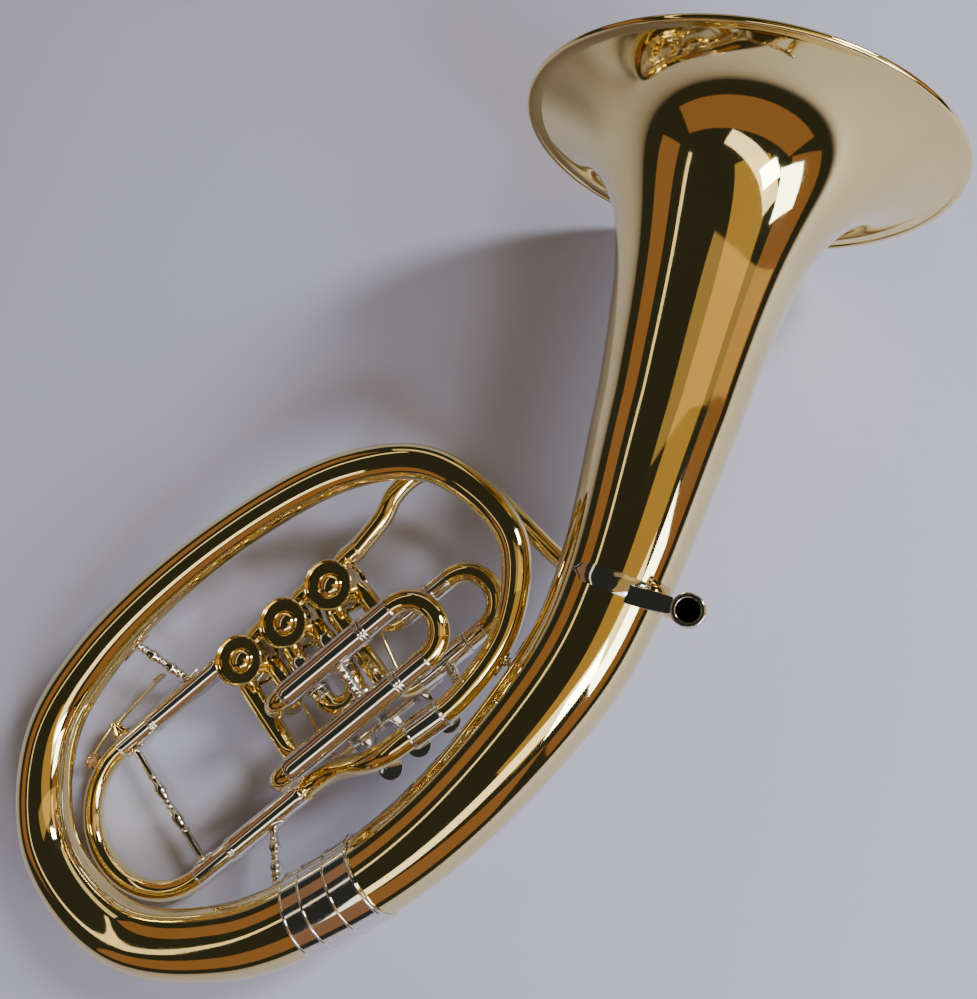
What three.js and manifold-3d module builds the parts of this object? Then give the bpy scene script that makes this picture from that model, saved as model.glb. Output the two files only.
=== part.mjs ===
// Oval alto horn with three rotary valves, in millimetres.
// Body plane: X runs across the horn, Y along the bell axis towards the rim, Z towards the player.
// Valve plane: X runs along the valve row towards the leadpipe, Y to the side of the windway, Z as above.

import * as THREE from "three";
import { mergeVertices } from "three/addons/utils/BufferGeometryUtils.js";
import Module from "manifold-3d";

const wasm = await Module();
wasm.setup();

// Driving dimensions: bell and body tube
const BODY_LENGTH = 532; // from the bell rim to the foot of the bow
const BELL_DIAMETER = 240;
const STEM_RADIUS_AT_RIM = 52; // where the straight cone of the stem would meet the rim
const STEM_TAPER = 0.0845; // radius lost for each unit of length away from the rim
const FLARE_REACH = 23; // length over which the flare opens out
const FLARE_POWER = 0.87;
const STEM_LENGTH = 150; // straight part of the bell, up to the rim
const BELL_WALL = 0.9;
const RIM_BEAD_RADIUS = 1.7;
const BOW_RADIUS = 22.4; // body tube inside the large ferrule
const BODY_WALL = 0.9;
const FIT = 0.3; // gap between pieces that touch or slide

// Centre line of the body tube from the small ferrule round the oval to the bell stem:
// across and along as shares of BODY_LENGTH, radius as a share of BOW_RADIUS.
const bodyTubeShares = [
  [-0.177, -0.683, 0.31],
  [-0.128, -0.617, 0.325],
  [-0.102, -0.536, 0.345],
  [-0.124, -0.447, 0.393],
  [-0.224, -0.397, 0.455],
  [-0.32, -0.425, 0.5],
  [-0.446, -0.54, 0.558],
  [-0.549, -0.697, 0.634],
  [-0.575, -0.805, 0.679],
  [-0.534, -0.912, 0.701],
  [-0.423, -0.966, 0.786],
  [-0.297, -0.93, 0.906],
  [-0.199, -0.85, 1],
  [-0.113, -0.741, 1.103],
  [-0.03, -0.57, 1.263],
  [-0.009, -0.47, 1.384],
];
const BODY_STEPS = 2; // rings from one place to the next
const BODY_SIDES = 14;
const BELL_SIDES = 20;

// Ferrules of the body tube
const FERRULE_WALL = 0.9;
const FERRULE_RING = 0.6; // how far a turned ring stands proud
const FERRULE_RING_WIDTH = 1.6;
const BOW_JOINT_LENGTH = 780; // along the body tube's centre line, where the two tubes meet
const BOW_FERRULE_BEFORE = 30;
const BOW_FERRULE_AFTER = 17;
const BRANCH_FERRULE_START = 6; // from the small end of the body tube's centre line
const BRANCH_FERRULE_LENGTH = 24;

// Small tubes and slides
const TUBE_RADIUS = 6.1;
const TUBE_WALL = 0.75;
const LEG_RADIUS = 5.9; // inner leg of a slide
const SLEEVE_RADIUS = 7.2;
const SLEEVE_RING = 0.5;
const SLEEVE_RING_WIDTH = 3;
const TUBE_SIDES = 10;
const BEND_STEP = Math.PI / 6;
const WIDE_BEND = 30; // bends wider than this get twice the rings

// Valve row
const ROW_ANGLE = THREE.MathUtils.degToRad(54.15); // from the body's X axis
const ROW_ACROSS_SHARE = -0.35; // place of the middle valve, of BODY_LENGTH
const ROW_ALONG_SHARE = -0.604;
const PORT_DEPTH = 24; // ports behind the plane of the body tube
const VALVE_PITCH = 35;
const CASING_RADIUS = 13.6;
const CASING_WALL = 1.3;
const CASING_ABOVE = 11; // above the ports
const CASING_BELOW = 11;
const CASING_SIDES = 16;
const ROTOR_SIDES = 12;
const PORT_OFFSET = 10.4; // tube centre lines beside the valve axis
const PORT_BEND = 8;

// Valve cap: a cup with a domed middle
const CAP_RADIUS = 15.1;
const CAP_SKIRT = 2.5;
const CAP_PLATE = 1.7;
const CAP_CUP_DEPTH = 3.6;
const CAP_CUP_RIM = 1.1;
const CAP_DOME_RADIUS = 7.1;
const CAP_DOME_HEIGHT = 4.6;

// Bearing plate, rotor and stop arm
const PLATE_THICKNESS = 3.2;
const PLATE_SKIRT = 2.2;
const STEM_RADIUS = 3;
const CHANNEL_RADIUS = 4.6;
const STOP_ARM_GAP = 0.5;
const STOP_ARM_THICKNESS = 3;
const STOP_HUB_RADIUS = 4.9;
const STOP_LOBE_REACH = 10;
const STOP_LOBE_WIDTH = 4.4;
const BUMPER_RADIUS = 1.7;
const CRANK_RADIUS = 6; // stop-arm pin from the valve axis
const CRANK_PIN_RADIUS = 1.1;
const CRANK_PIN_LENGTH = 7;
const CRANK_PIN_HEAD = 0.9;
const ROTOR_TURN = Math.PI / 2;

// Main tuning slide
const TUNING_LEG_GAP = 92; // between the two legs' centre lines
const TUNING_SLEEVE_END = 108; // from the middle valve
const TUNING_CROOK_START = 134;
const TUNING_LEG_END = 62;
const OUTLET_SLEEVE_START = 52;
const CROOK_BRACE_PLACE = 127;

// Slides of the first, second and third valves
const FIRST_SLIDE_NEAR = 39.5; // legs' distance from the valve row
const FIRST_SLIDE_FAR = 75;
const FIRST_SLIDE_BEND = 91; // bend centre from the middle valve
const FIRST_SLEEVE_END = 78;
const FIRST_LEG_END = 57;
const SECOND_SLIDE_BEND = 47.5;
const SECOND_SLEEVE_START = 17.5;
const SECOND_SLEEVE_END = 40;
const SECOND_LEG_END = 20;
const THIRD_SLIDE_RISE = 40; // of the third slide above the ports
const THIRD_SLIDE_NEAR = 41;
const THIRD_SLIDE_FAR = 75.3;
const THIRD_SLIDE_BEND = 63.5;
const THIRD_SLEEVE_END = 44;
const THIRD_LEG_END = -12;
const ELBOW_RADIUS = 9;
const WIDE_BEND_RADIUS = 17;
const RISER_BEND_RADIUS = 16;

// Outlet tube from the tuning slide up to the body tube
const OUTLET_EASE = 32; // how far each end keeps its direction

// Leadpipe and receiver; the leadpipe's places are shares of BODY_LENGTH
const LEADPIPE_RADIUS = 5.3;
const RECEIVER_SIDES = 14;
const RECEIVER_LENGTH = 42;
const RECEIVER_RADIUS = 8;
const RECEIVER_MOUTH_RADIUS = 8.9;
const RECEIVER_MOUTH_LENGTH = 6;
const RECEIVER_BORE = 6.2;
const RECEIVER_TOP = 33; // mouth above the body plane
const leadpipeShares = [
  [0.0725, -0.4775, -0.018],
  [0.056, -0.477, -0.062],
  [0.008, -0.474, -0.084],
  [-0.067, -0.461, -0.078],
  [-0.1335, -0.4258, -0.0635],
  [-0.1785, -0.402, -0.0575],
  [-0.2215, -0.3945, -0.0535],
  [-0.2575, -0.404, -0.0495],
  [-0.278, -0.434, -0.0465],
  [-0.283, -0.461, -0.0451],
];
const LEADPIPE_STEPS = 2;
const LEADPIPE_STRAIGHT = 24; // run into the first valve, from its casing

// Saddle that ties the receiver to the bell
const SADDLE_REACH = 110; // of the bell's tail, for the plate's curve
const saddleShares = [
  [-0.043, -0.4665],
  [-0.024, -0.457],
  [0.03, -0.464],
  [0.03, -0.482],
  [-0.029, -0.4785],
];
const SADDLE_ARM_WIDTH = 9;
const SADDLE_ARM_THICKNESS = 3.5;
const SADDLE_ARM_FROM = 6;

// Braces
const POST_RADIUS = 2.1;
const POST_BEAD = 0.9;
const FOOT_FOIL = 0.9;
const FOOT_LENGTH = 24;
const FOOT_WIDTH = 8;
const SMALL_FOOT_LENGTH = 14;
const BRANCH_BRACE_LENGTH = 427; // along the body tube's centre line
const BRANCH_BRACE_PLACE = 72; // along the valve row
const BOW_BRACE_LENGTH = 735;
const BOW_BRACE_PLACE = 76;
const BELL_BRACE_LENGTH = 69;
const BELL_BRACE_BELL_LENGTH = 946;
const FIRST_BRACE_LENGTH = 44;
const FIRST_BRACE_PLACE = 62;
const THIRD_BRACE_PLACE = 21;

// Levers, hinge rod, links and springs
const ROD_RADIUS = 2;
const ROD_FROM_ROW = 78;
const ROD_BELOW_PORTS = 13;
const ROD_LEFT = 47;
const ROD_RIGHT = 52;
const BRACKET_LEFT = 43.7;
const BRACKET_RIGHT = 48.5;
const BRACKET_FOOT_LENGTH = 9;
const BARREL_RADIUS = 3.6;
const LEVER_CRANK = 16; // hinge rod to link
const LEVER_PAD_FROM_ROW = 101;
const LEVER_PAD_DROP = 7; // pad below the hinge rod at rest
const LEVER_PAD_RADIUS = 8.5;
const LEVER_PAD_THICKNESS = 2;
const LEVER_STRAP_WIDTH = 5;
const LEVER_STRAP_THICKNESS = 2.2;
const CRANK_STRAP_WIDTH = 2.6;
const LINK_PIN_RADIUS = 1.2;
const LINK_WIRE_RADIUS = 1.2;
const LINK_EYE_RADIUS = 3.2;
const LINK_EYE_THICKNESS = 2;
const BRACKET_EYE_WIDTH = 4.4;
const SPRING_WIRE_RADIUS = 0.45;
const SPRING_CURLS = 3;
const SPRING_PITCH = 1.5;
const SPRING_STEPS = 8;
const SPRING_SIDES = 5;
const SPRING_TAIL = 9;
// One row for each lever: barrel ends, pad and crank along the valve row.
const LEVERS = [
  { valve: 1, from: 20.9, to: 45.8, pad: 37, crank: 22.6 },
  { valve: 2, from: 2.6, to: 20.5, pad: 14, crank: 4 },
  { valve: 3, from: -41, to: -2.6, pad: -8, crank: -39 },
];

// Water key on the tuning crook
const KEY_HINGE_ALONG = 130; // from the middle valve
const KEY_HINGE_CLEAR = 8; // from the leg's outside to the hinge
const KEY_FINGER_REACH = 40;
const KEY_FINGER_CLEAR = 13;
const KEY_THICKNESS = 3;
const KEY_WIDTH = 3.2;
const KEY_PAD_RADIUS = 5.4;
const KEY_PAD_DEPTH = 4;
const KEY_PAD_ANGLE = THREE.MathUtils.degToRad(112); // round the crook, from the row's X axis
const KEY_PIN_RADIUS = 1;
const KEY_LUG = 1.6;
const NIPPLE_RADIUS = 3;
const NIPPLE_HEIGHT = 1.6;

// The horn's lean as it lies
const REST_LEAN_X = THREE.MathUtils.degToRad(6.318);
const REST_LEAN_Y = THREE.MathUtils.degToRad(-7.64);

// Finishes: lacquered brass, nickel silver, polished steel
const LACQUERED_BRASS = { color: 0xc08a2d, roughness: 0.12, metalness: 1 };
const NICKEL_SILVER = { color: 0xb9b2a8, roughness: 0.14, metalness: 1 };
const STEEL = { color: 0x9a9a9c, roughness: 0.25, metalness: 1 };

const ZERO = new THREE.Vector3();
const X_AXIS = new THREE.Vector3(1, 0, 0);
const Y_AXIS = new THREE.Vector3(0, 1, 0);
const Z_AXIS = new THREE.Vector3(0, 0, 1);
const at = (x, y, z = 0) => new THREE.Vector3(x, y, z);

// Groups: the horn holds the body and, turned inside it, the valve section.
const horn = new THREE.Group();
horn.name = "horn";
const valveSection = new THREE.Group();
valveSection.name = "valve_section";
valveSection.position.set(ROW_ACROSS_SHARE * BODY_LENGTH, ROW_ALONG_SHARE * BODY_LENGTH, 0);
valveSection.rotation.z = ROW_ANGLE;
valveSection.updateMatrix();
horn.add(valveSection);
const inBody = (point) => point.clone().applyMatrix4(valveSection.matrix);
const inValves = (point) => point.clone().applyMatrix4(valveSection.matrix.clone().invert());
const turnedToBody = (direction) => direction.clone().applyAxisAngle(Z_AXIS, ROW_ANGLE);
const turnedToValves = (direction) => direction.clone().applyAxisAngle(Z_AXIS, -ROW_ANGLE);

function addPart(parent, name, geometry, finish) {
  const mesh = new THREE.Mesh(geometry, new THREE.MeshStandardMaterial(finish));
  mesh.name = name;
  parent.add(mesh);
  return mesh;
}

// Solids for cuts and joins

function solidOf(geometry) {
  const bare = new THREE.BufferGeometry();
  bare.setAttribute("position", geometry.getAttribute("position"));
  bare.setIndex(geometry.index);
  const merged = mergeVertices(bare, 1e-5);
  return new wasm.Manifold(
    new wasm.Mesh({
      numProp: 3,
      vertProperties: new Float32Array(merged.attributes.position.array),
      triVerts: new Uint32Array(merged.index.array),
    }),
  );
}

function geometryOf(solid) {
  const mesh = solid.getMesh();
  const geometry = new THREE.BufferGeometry();
  const points = new Float32Array(mesh.numVert * 3);
  for (let i = 0; i < mesh.numVert; i++) {
    points.set(mesh.vertProperties.subarray(i * mesh.numProp, i * mesh.numProp + 3), i * 3);
  }
  geometry.setAttribute("position", new THREE.BufferAttribute(points, 3));
  geometry.setIndex(new THREE.BufferAttribute(new Uint32Array(mesh.triVerts), 1));
  return geometry;
}

const joined = (geometries) =>
  geometryOf(geometries.map(solidOf).reduce((whole, solid) => whole.add(solid)));

function cut(geometry, tools) {
  return geometryOf(tools.map(solidOf).reduce((rest, tool) => rest.subtract(tool), solidOf(geometry)));
}

// Tubes

// Turns a list of rings into vertices: each ring is { at, along, radius }.
function ringPoints(rings, sides, up) {
  const points = [];
  let normal = up.clone();
  for (const ring of rings) {
    normal.addScaledVector(ring.along, -normal.dot(ring.along)).normalize();
    const side = new THREE.Vector3().crossVectors(ring.along, normal);
    for (let i = 0; i < sides; i++) {
      const angle = (i / sides) * 2 * Math.PI;
      points.push(
        ring.at
          .clone()
          .addScaledVector(normal, ring.radius * Math.cos(angle))
          .addScaledVector(side, ring.radius * Math.sin(angle)),
      );
    }
    normal = normal.clone();
  }
  return points;
}

// A tube wall between an outer and an inner list of rings; without inner rings it is a solid rod.
function shell(outer, inner, { sides = TUBE_SIDES, boreSides = sides / 2, up = Z_AXIS } = {}) {
  const outside = ringPoints(outer, sides, up);
  const inside = inner ? ringPoints(inner, boreSides, up) : [];
  const faces = [];
  const wallFaces = (rings, count, first, flip) => {
    for (let k = 0; k + 1 < rings.length; k++) {
      for (let i = 0; i < count; i++) {
        const j = (i + 1) % count;
        const [a, b] = [first + k * count + i, first + k * count + j];
        const [c, d] = [b + count, a + count];
        faces.push(...(flip ? [a, c, b, a, d, c] : [a, b, c, a, c, d]));
      }
    }
  };
  wallFaces(outer, sides, 0, false);
  const innerFirst = outside.length;
  if (inner) wallFaces(inner, boreSides, innerFirst, true);
  for (const atEnd of [false, true]) {
    const outerRing = atEnd ? outside.length - sides : 0;
    const face = (a, b, c) => faces.push(...(atEnd ? [a, b, c] : [a, c, b]));
    if (!inner) {
      for (let i = 1; i + 1 < sides; i++) face(outerRing, outerRing + i, outerRing + i + 1);
      continue;
    }
    const innerRing = innerFirst + (atEnd ? inside.length - boreSides : 0);
    const perBore = sides / boreSides;
    for (let j = 0; j < boreSides; j++) {
      const next = innerRing + ((j + 1) % boreSides);
      for (let q = 0; q < perBore; q++) {
        const i = j * perBore + q;
        const touch = 2 * q < perBore ? innerRing + j : next;
        face(outerRing + i, outerRing + ((i + 1) % sides), touch);
      }
      const middle = outerRing + ((j * perBore + Math.ceil(perBore / 2)) % sides);
      face(middle, next, innerRing + j);
    }
  }
  const geometry = new THREE.BufferGeometry();
  const flat = [...outside, ...inside].flatMap((point) => point.toArray());
  geometry.setAttribute("position", new THREE.Float32BufferAttribute(flat, 3));
  geometry.setIndex(faces);
  return geometry;
}

// Rings along straight runs that are joined by round bends at the corners.
function routed(corners, bends, radius) {
  const rings = [];
  const push = (point, along) => rings.push({ at: point, along: along.clone(), radius });
  let along = corners[1].clone().sub(corners[0]).normalize();
  push(corners[0], along);
  for (let i = 1; i + 1 < corners.length; i++) {
    const bend = Array.isArray(bends) ? bends[i - 1] : bends;
    const next = corners[i + 1].clone().sub(corners[i]).normalize();
    const turn = along.angleTo(next);
    const axis = new THREE.Vector3().crossVectors(along, next).normalize();
    const start = corners[i].clone().addScaledVector(along, -bend * Math.tan(turn / 2));
    const centre = start.clone().addScaledVector(new THREE.Vector3().crossVectors(axis, along), bend);
    const steps = Math.max(1, Math.round(turn / (bend > WIDE_BEND ? BEND_STEP * 0.6 : BEND_STEP) - 0.1));
    for (let k = 0; k <= steps; k++) {
      const angle = (k / steps) * turn;
      const point = start.clone().sub(centre).applyAxisAngle(axis, angle).add(centre);
      if (point.distanceTo(rings.at(-1).at) > FIT / 10) push(point, along.clone().applyAxisAngle(axis, angle));
    }
    along = next;
  }
  push(corners.at(-1), along);
  return rings;
}

const withRadius = (rings, radius) => rings.map((ring) => ({ ...ring, radius }));
const ringAt = (point, along, radius) => ({ at: point.clone(), along: along.clone(), radius });

// Straight rod, tube or cut between two points.
function rod(from, to, radius, sides = TUBE_SIDES) {
  const along = to.clone().sub(from).normalize();
  const up = Math.abs(along.dot(Z_AXIS)) > 0.9 ? X_AXIS : Z_AXIS;
  return shell([ringAt(from, along, radius), ringAt(to, along, radius)], null, { sides, up });
}

// A turned solid whose profile of [radius, height] pairs runs from the foot up its outside.
function turned(profile, sides, axisAt = ZERO) {
  const points = profile.map(([radius, height]) => new THREE.Vector2(radius, height));
  const geometry = new THREE.LatheGeometry(points, sides);
  geometry.rotateX(Math.PI / 2);
  geometry.translate(axisAt.x, axisAt.y, axisAt.z);
  return geometry;
}

// The body tube's centre line and radius

const bodyPlaces = bodyTubeShares.map(([across, along]) => at(across * BODY_LENGTH, along * BODY_LENGTH));
const bodyRadii = bodyTubeShares.map(([, , share]) => share * BOW_RADIUS);
const stemStart = at(0, -STEM_LENGTH);
const stemRadius = (back) =>
  STEM_RADIUS_AT_RIM -
  STEM_TAPER * back +
  (BELL_DIAMETER / 2 - RIM_BEAD_RADIUS - STEM_RADIUS_AT_RIM) * Math.exp(-((back / FLARE_REACH) ** FLARE_POWER));
bodyPlaces.push(stemStart);
bodyRadii.push(stemRadius(STEM_LENGTH));
const bodyCurve = new THREE.CatmullRomCurve3(bodyPlaces, false, "centripetal");
bodyCurve.arcLengthDivisions = 800;
const bodyCurveLength = bodyCurve.getLength();

// The ring at a place t between 0 and 1 along the numbered places.
function bodyRing(t, extra = 0) {
  const place = t * (bodyRadii.length - 1);
  const index = Math.min(Math.floor(place), bodyRadii.length - 2);
  const radius = THREE.MathUtils.lerp(bodyRadii[index], bodyRadii[index + 1], place - index);
  return ringAt(bodyCurve.getPoint(t), bodyCurve.getTangent(t), radius + extra);
}

const placeAt = (length) => bodyCurve.getUtoTmapping(length / bodyCurveLength);

// Every piece on the body tube takes its rings at the same places, so that gaps stay even.
const bowFerruleStart = BOW_JOINT_LENGTH - BOW_FERRULE_BEFORE;
const bowFerruleEnd = BOW_JOINT_LENGTH + BOW_FERRULE_AFTER;
const branchFerruleEnd = BRANCH_FERRULE_START + BRANCH_FERRULE_LENGTH;
const branchJoint = (BRANCH_FERRULE_START + branchFerruleEnd) / 2;
const seams = [BRANCH_FERRULE_START, branchFerruleEnd, bowFerruleStart, bowFerruleEnd].map(placeAt);
const bodyStations = [...seams];
const stationCount = (bodyRadii.length - 1) * BODY_STEPS;
for (let k = 0; k <= stationCount; k++) {
  const place = k / stationCount;
  if (seams.every((seam) => Math.abs(seam - place) * stationCount > 0.25)) bodyStations.push(place);
}
bodyStations.sort((a, b) => a - b);

// Rings from one length along the centre line exactly to another.
function bodyRings(fromLength, toLength, extra = 0) {
  const [from, to] = [placeAt(fromLength), placeAt(toLength)];
  const near = 0.1 / stationCount;
  const between = bodyStations.filter((place) => place > from + near && place < to - near);
  return [from, ...between, to].map((place) => bodyRing(place, extra));
}

// Rings at the shared places that enclose a stretch.
function bodySpan(fromLength, toLength) {
  const [from, to] = [placeAt(fromLength), placeAt(toLength)];
  const first = bodyStations.findLast((place) => place <= from);
  const last = bodyStations.find((place) => place >= to);
  return bodyStations.filter((place) => place >= first && place <= last).map((place) => bodyRing(place));
}

// Bell: curved tail, straight stem, flare and rolled rim in one wall

// Steps back from the rim, each a share of the stem's length.
const flareShares = [0.76, 0.56, 0.42, 0.32, 0.24, 0.18, 0.13, 0.09, 0.06, 0.036, 0.016];

function bellProfile(inset) {
  return flareShares.map((share) => {
    const back = share * STEM_LENGTH;
    const step = BELL_WALL / 4;
    const slope = (stemRadius(back - step) - stemRadius(back + step)) / (2 * step);
    const lean = Math.hypot(1, slope);
    return ringAt(at(0, -back + (inset * slope) / lean), Y_AXIS, stemRadius(back) - inset / lean);
  });
}

// The rolled rim: an arc from the outside of the flare over to its inside.
function rimBead() {
  const centre = BELL_DIAMETER / 2 - RIM_BEAD_RADIUS;
  const rings = [];
  for (let k = 0; k <= 5; k++) {
    const angle = THREE.MathUtils.degToRad(-120 + k * 48);
    rings.push(
      ringAt(
        at(0, -RIM_BEAD_RADIUS + RIM_BEAD_RADIUS * Math.sin(angle)),
        Y_AXIS,
        centre + RIM_BEAD_RADIUS * Math.cos(angle),
      ),
    );
  }
  return rings;
}

const bellTail = bodyRings(BOW_JOINT_LENGTH + FIT / 2, bodyCurveLength);
const bellOutside = [...bellTail, ...bellProfile(0)];
const bell = shell(
  [...bellOutside, ...rimBead()],
  [...bellTail.map((ring) => ({ ...ring, radius: ring.radius - BELL_WALL })), ...bellProfile(BELL_WALL)],
  { sides: BELL_SIDES, boreSides: BELL_SIDES },
);
addPart(horn, "bell", bell, LACQUERED_BRASS);

// Body tube round the oval and its two ferrules

const branchOutside = bodyRings(branchJoint + FIT / 2, BOW_JOINT_LENGTH - FIT / 2);
addPart(
  horn,
  "body_tube",
  shell(
    branchOutside,
    branchOutside.map((ring) => ({ ...ring, radius: ring.radius - BODY_WALL })),
    { sides: BODY_SIDES },
  ),
  LACQUERED_BRASS,
);

// A ferrule follows the tube that it covers and carries turned rings at the given lengths.
function ferrule(name, from, to, ringLengths, sides) {
  const outside = [];
  const proud = FIT + FERRULE_WALL;
  const stations = [...new Set([from, ...ringLengths, to])].sort((a, b) => a - b);
  for (const length of stations) {
    const half = FERRULE_RING_WIDTH / 2;
    const centre = THREE.MathUtils.clamp(length, from + half, to - half);
    const isRing = ringLengths.includes(length);
    const low = (place) => bodyRing(placeAt(place), proud);
    const high = (place) => bodyRing(placeAt(place), proud + FERRULE_RING);
    if (!isRing) outside.push(low(length));
    else {
      if (centre - half > from) outside.push(low(centre - half));
      outside.push(high(centre - half), high(centre + half));
      if (centre + half < to) outside.push(low(centre + half));
    }
  }
  const snug = 1 / Math.cos(Math.PI / sides);
  const inside = bodyRings(from, to, FIT).map((ring) => ({ ...ring, radius: ring.radius * snug }));
  addPart(horn, name, shell(outside, inside, { sides, boreSides: sides }), NICKEL_SILVER);
}

ferrule(
  "bow_ferrule",
  bowFerruleStart,
  bowFerruleEnd,
  [BOW_JOINT_LENGTH - BOW_FERRULE_AFTER, BOW_JOINT_LENGTH, bowFerruleEnd],
  BODY_SIDES,
);
ferrule(
  "branch_ferrule",
  BRANCH_FERRULE_START,
  branchFerruleEnd,
  [BRANCH_FERRULE_START, branchFerruleEnd],
  BODY_SIDES,
);

// Valve casings, caps, bearing plates, rotors and stop arms

const portZ = -PORT_DEPTH;
const valveAxis = (number) => at((2 - number) * VALVE_PITCH, 0, portZ);
const casingCut = (number) =>
  rod(
    valveAxis(number).addScaledVector(Z_AXIS, -CASING_BELOW - CAP_RADIUS),
    valveAxis(number).addScaledVector(Z_AXIS, CASING_ABOVE + CAP_RADIUS),
    CASING_RADIUS + FIT,
    CASING_SIDES,
  );
const tubeBore = TUBE_RADIUS - TUBE_WALL;
const diagonal = (quarter) => X_AXIS.clone().applyAxisAngle(Z_AXIS, Math.PI / 4 + (quarter * Math.PI) / 2);

function casing(number) {
  const axis = valveAxis(number);
  const bore = CASING_RADIUS - CASING_WALL;
  const flange = CASING_RADIUS + CASING_WALL / 2;
  const band = CASING_WALL * 1.5;
  const shellProfile = [
    [bore, -CASING_BELOW],
    [CASING_RADIUS, -CASING_BELOW],
    [CASING_RADIUS, CASING_ABOVE - CAP_SKIRT - FIT - band],
    [flange, CASING_ABOVE - CAP_SKIRT - FIT - band],
    [flange, CASING_ABOVE - CAP_SKIRT - FIT],
    [CASING_RADIUS, CASING_ABOVE - CAP_SKIRT - FIT],
    [CASING_RADIUS, CASING_ABOVE],
    [bore, CASING_ABOVE],
    [bore, -CASING_BELOW],
  ];
  const ports = [0, 1, 2, 3].map((quarter) => {
    const direction = diagonal(quarter);
    const mouth = axis.clone().addScaledVector(direction, CASING_RADIUS + CASING_WALL);
    return rod(axis.clone().addScaledVector(direction, bore / 2), mouth, CHANNEL_RADIUS, 6);
  });
  return cut(turned(shellProfile, CASING_SIDES, axis), ports);
}

function cap() {
  const cupFloor = CASING_ABOVE + FIT + CAP_PLATE;
  const cupTop = cupFloor + CAP_CUP_DEPTH;
  const cupRadius = CAP_RADIUS - CAP_CUP_RIM;
  const dome = [];
  for (let k = 0; k <= 3; k++) {
    const angle = ((k / 3) * Math.PI) / 2;
    dome.push([CAP_DOME_RADIUS * Math.cos(angle), cupFloor + CAP_DOME_HEIGHT * Math.sin(angle)]);
  }
  return [
    [0, CASING_ABOVE + FIT],
    [CASING_RADIUS + FIT, CASING_ABOVE + FIT],
    [CASING_RADIUS + FIT, CASING_ABOVE - CAP_SKIRT],
    [CAP_RADIUS, CASING_ABOVE - CAP_SKIRT],
    [CAP_RADIUS, cupTop - CAP_CUP_RIM / 2],
    [CAP_RADIUS - CAP_CUP_RIM / 3, cupTop],
    [cupRadius, cupTop - CAP_CUP_RIM / 2],
    [cupRadius - CAP_CUP_RIM, cupFloor],
    ...dome.slice(0, -1),
    [0, cupFloor + CAP_DOME_HEIGHT],
  ];
}

const plateTop = -CASING_BELOW - FIT;
const plateBottom = plateTop - PLATE_THICKNESS;
const stopArmTop = plateBottom - STOP_ARM_GAP;
const stopArmBottom = stopArmTop - STOP_ARM_THICKNESS;
const stopLobeRadius = STOP_LOBE_REACH - STOP_LOBE_WIDTH / 2;
const bumperSwing =
  ROTOR_TURN / 2 + 2 * Math.asin((STOP_LOBE_WIDTH / 2 + BUMPER_RADIUS + FIT) / (2 * stopLobeRadius));

// The plate closes the casing from behind, guides the stem and carries the two stop bumpers.
function bearingPlate(number) {
  const axis = valveAxis(number);
  const profile = [
    [STEM_RADIUS + FIT, plateBottom],
    [CAP_RADIUS, plateBottom],
    [CAP_RADIUS, -CASING_BELOW + PLATE_SKIRT],
    [CASING_RADIUS + FIT, -CASING_BELOW + PLATE_SKIRT],
    [CASING_RADIUS + FIT, plateTop],
    [STEM_RADIUS + FIT, plateTop],
    [STEM_RADIUS + FIT, plateBottom],
  ];
  const bumpers = [-1, 1].map((side) => {
    const direction = X_AXIS.clone().negate().applyAxisAngle(Z_AXIS, side * bumperSwing);
    const foot = axis.clone().addScaledVector(direction, stopLobeRadius);
    const top = foot.clone().addScaledVector(Z_AXIS, plateBottom + FIT);
    const bottom = foot.clone().addScaledVector(Z_AXIS, stopArmBottom);
    return rod(bottom, top, BUMPER_RADIUS, 8);
  });
  return joined([turned(profile, CASING_SIDES, axis), ...bumpers]);
}

// The rotor: a cylinder with two round channels that join neighbouring ports, and its stem.
function rotor(number) {
  const axis = valveAxis(number);
  const radius = (CASING_RADIUS - CASING_WALL) * Math.cos(Math.PI / CASING_SIDES) - FIT;
  const core = turned(
    [
      [0, stopArmBottom],
      [STEM_RADIUS, stopArmBottom],
      [STEM_RADIUS, -CASING_BELOW + FIT],
      [radius, -CASING_BELOW + FIT],
      [radius, CASING_ABOVE - FIT],
      [0, CASING_ABOVE - FIT],
    ],
    ROTOR_SIDES,
    axis,
  );
  const channels = [-1, 1].map((side) => {
    const reach = (radius + CASING_WALL) * Math.SQRT1_2;
    const centre = axis.clone().addScaledVector(Y_AXIS, side * 2 * reach);
    const start = at(reach, side * reach).add(axis);
    const rings = [];
    for (let k = 0; k <= 3; k++) {
      const angle = side * (k / 3 - 0.5) * (Math.PI / 2);
      const arm = Y_AXIS.clone().multiplyScalar(-side).applyAxisAngle(Z_AXIS, angle);
      const place = centre.clone().addScaledVector(arm, start.distanceTo(centre));
      rings.push(ringAt(place, Z_AXIS.clone().cross(arm).multiplyScalar(side), CHANNEL_RADIUS));
    }
    return shell(rings, null, { sides: 6 });
  });
  return cut(core, channels);
}

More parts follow.
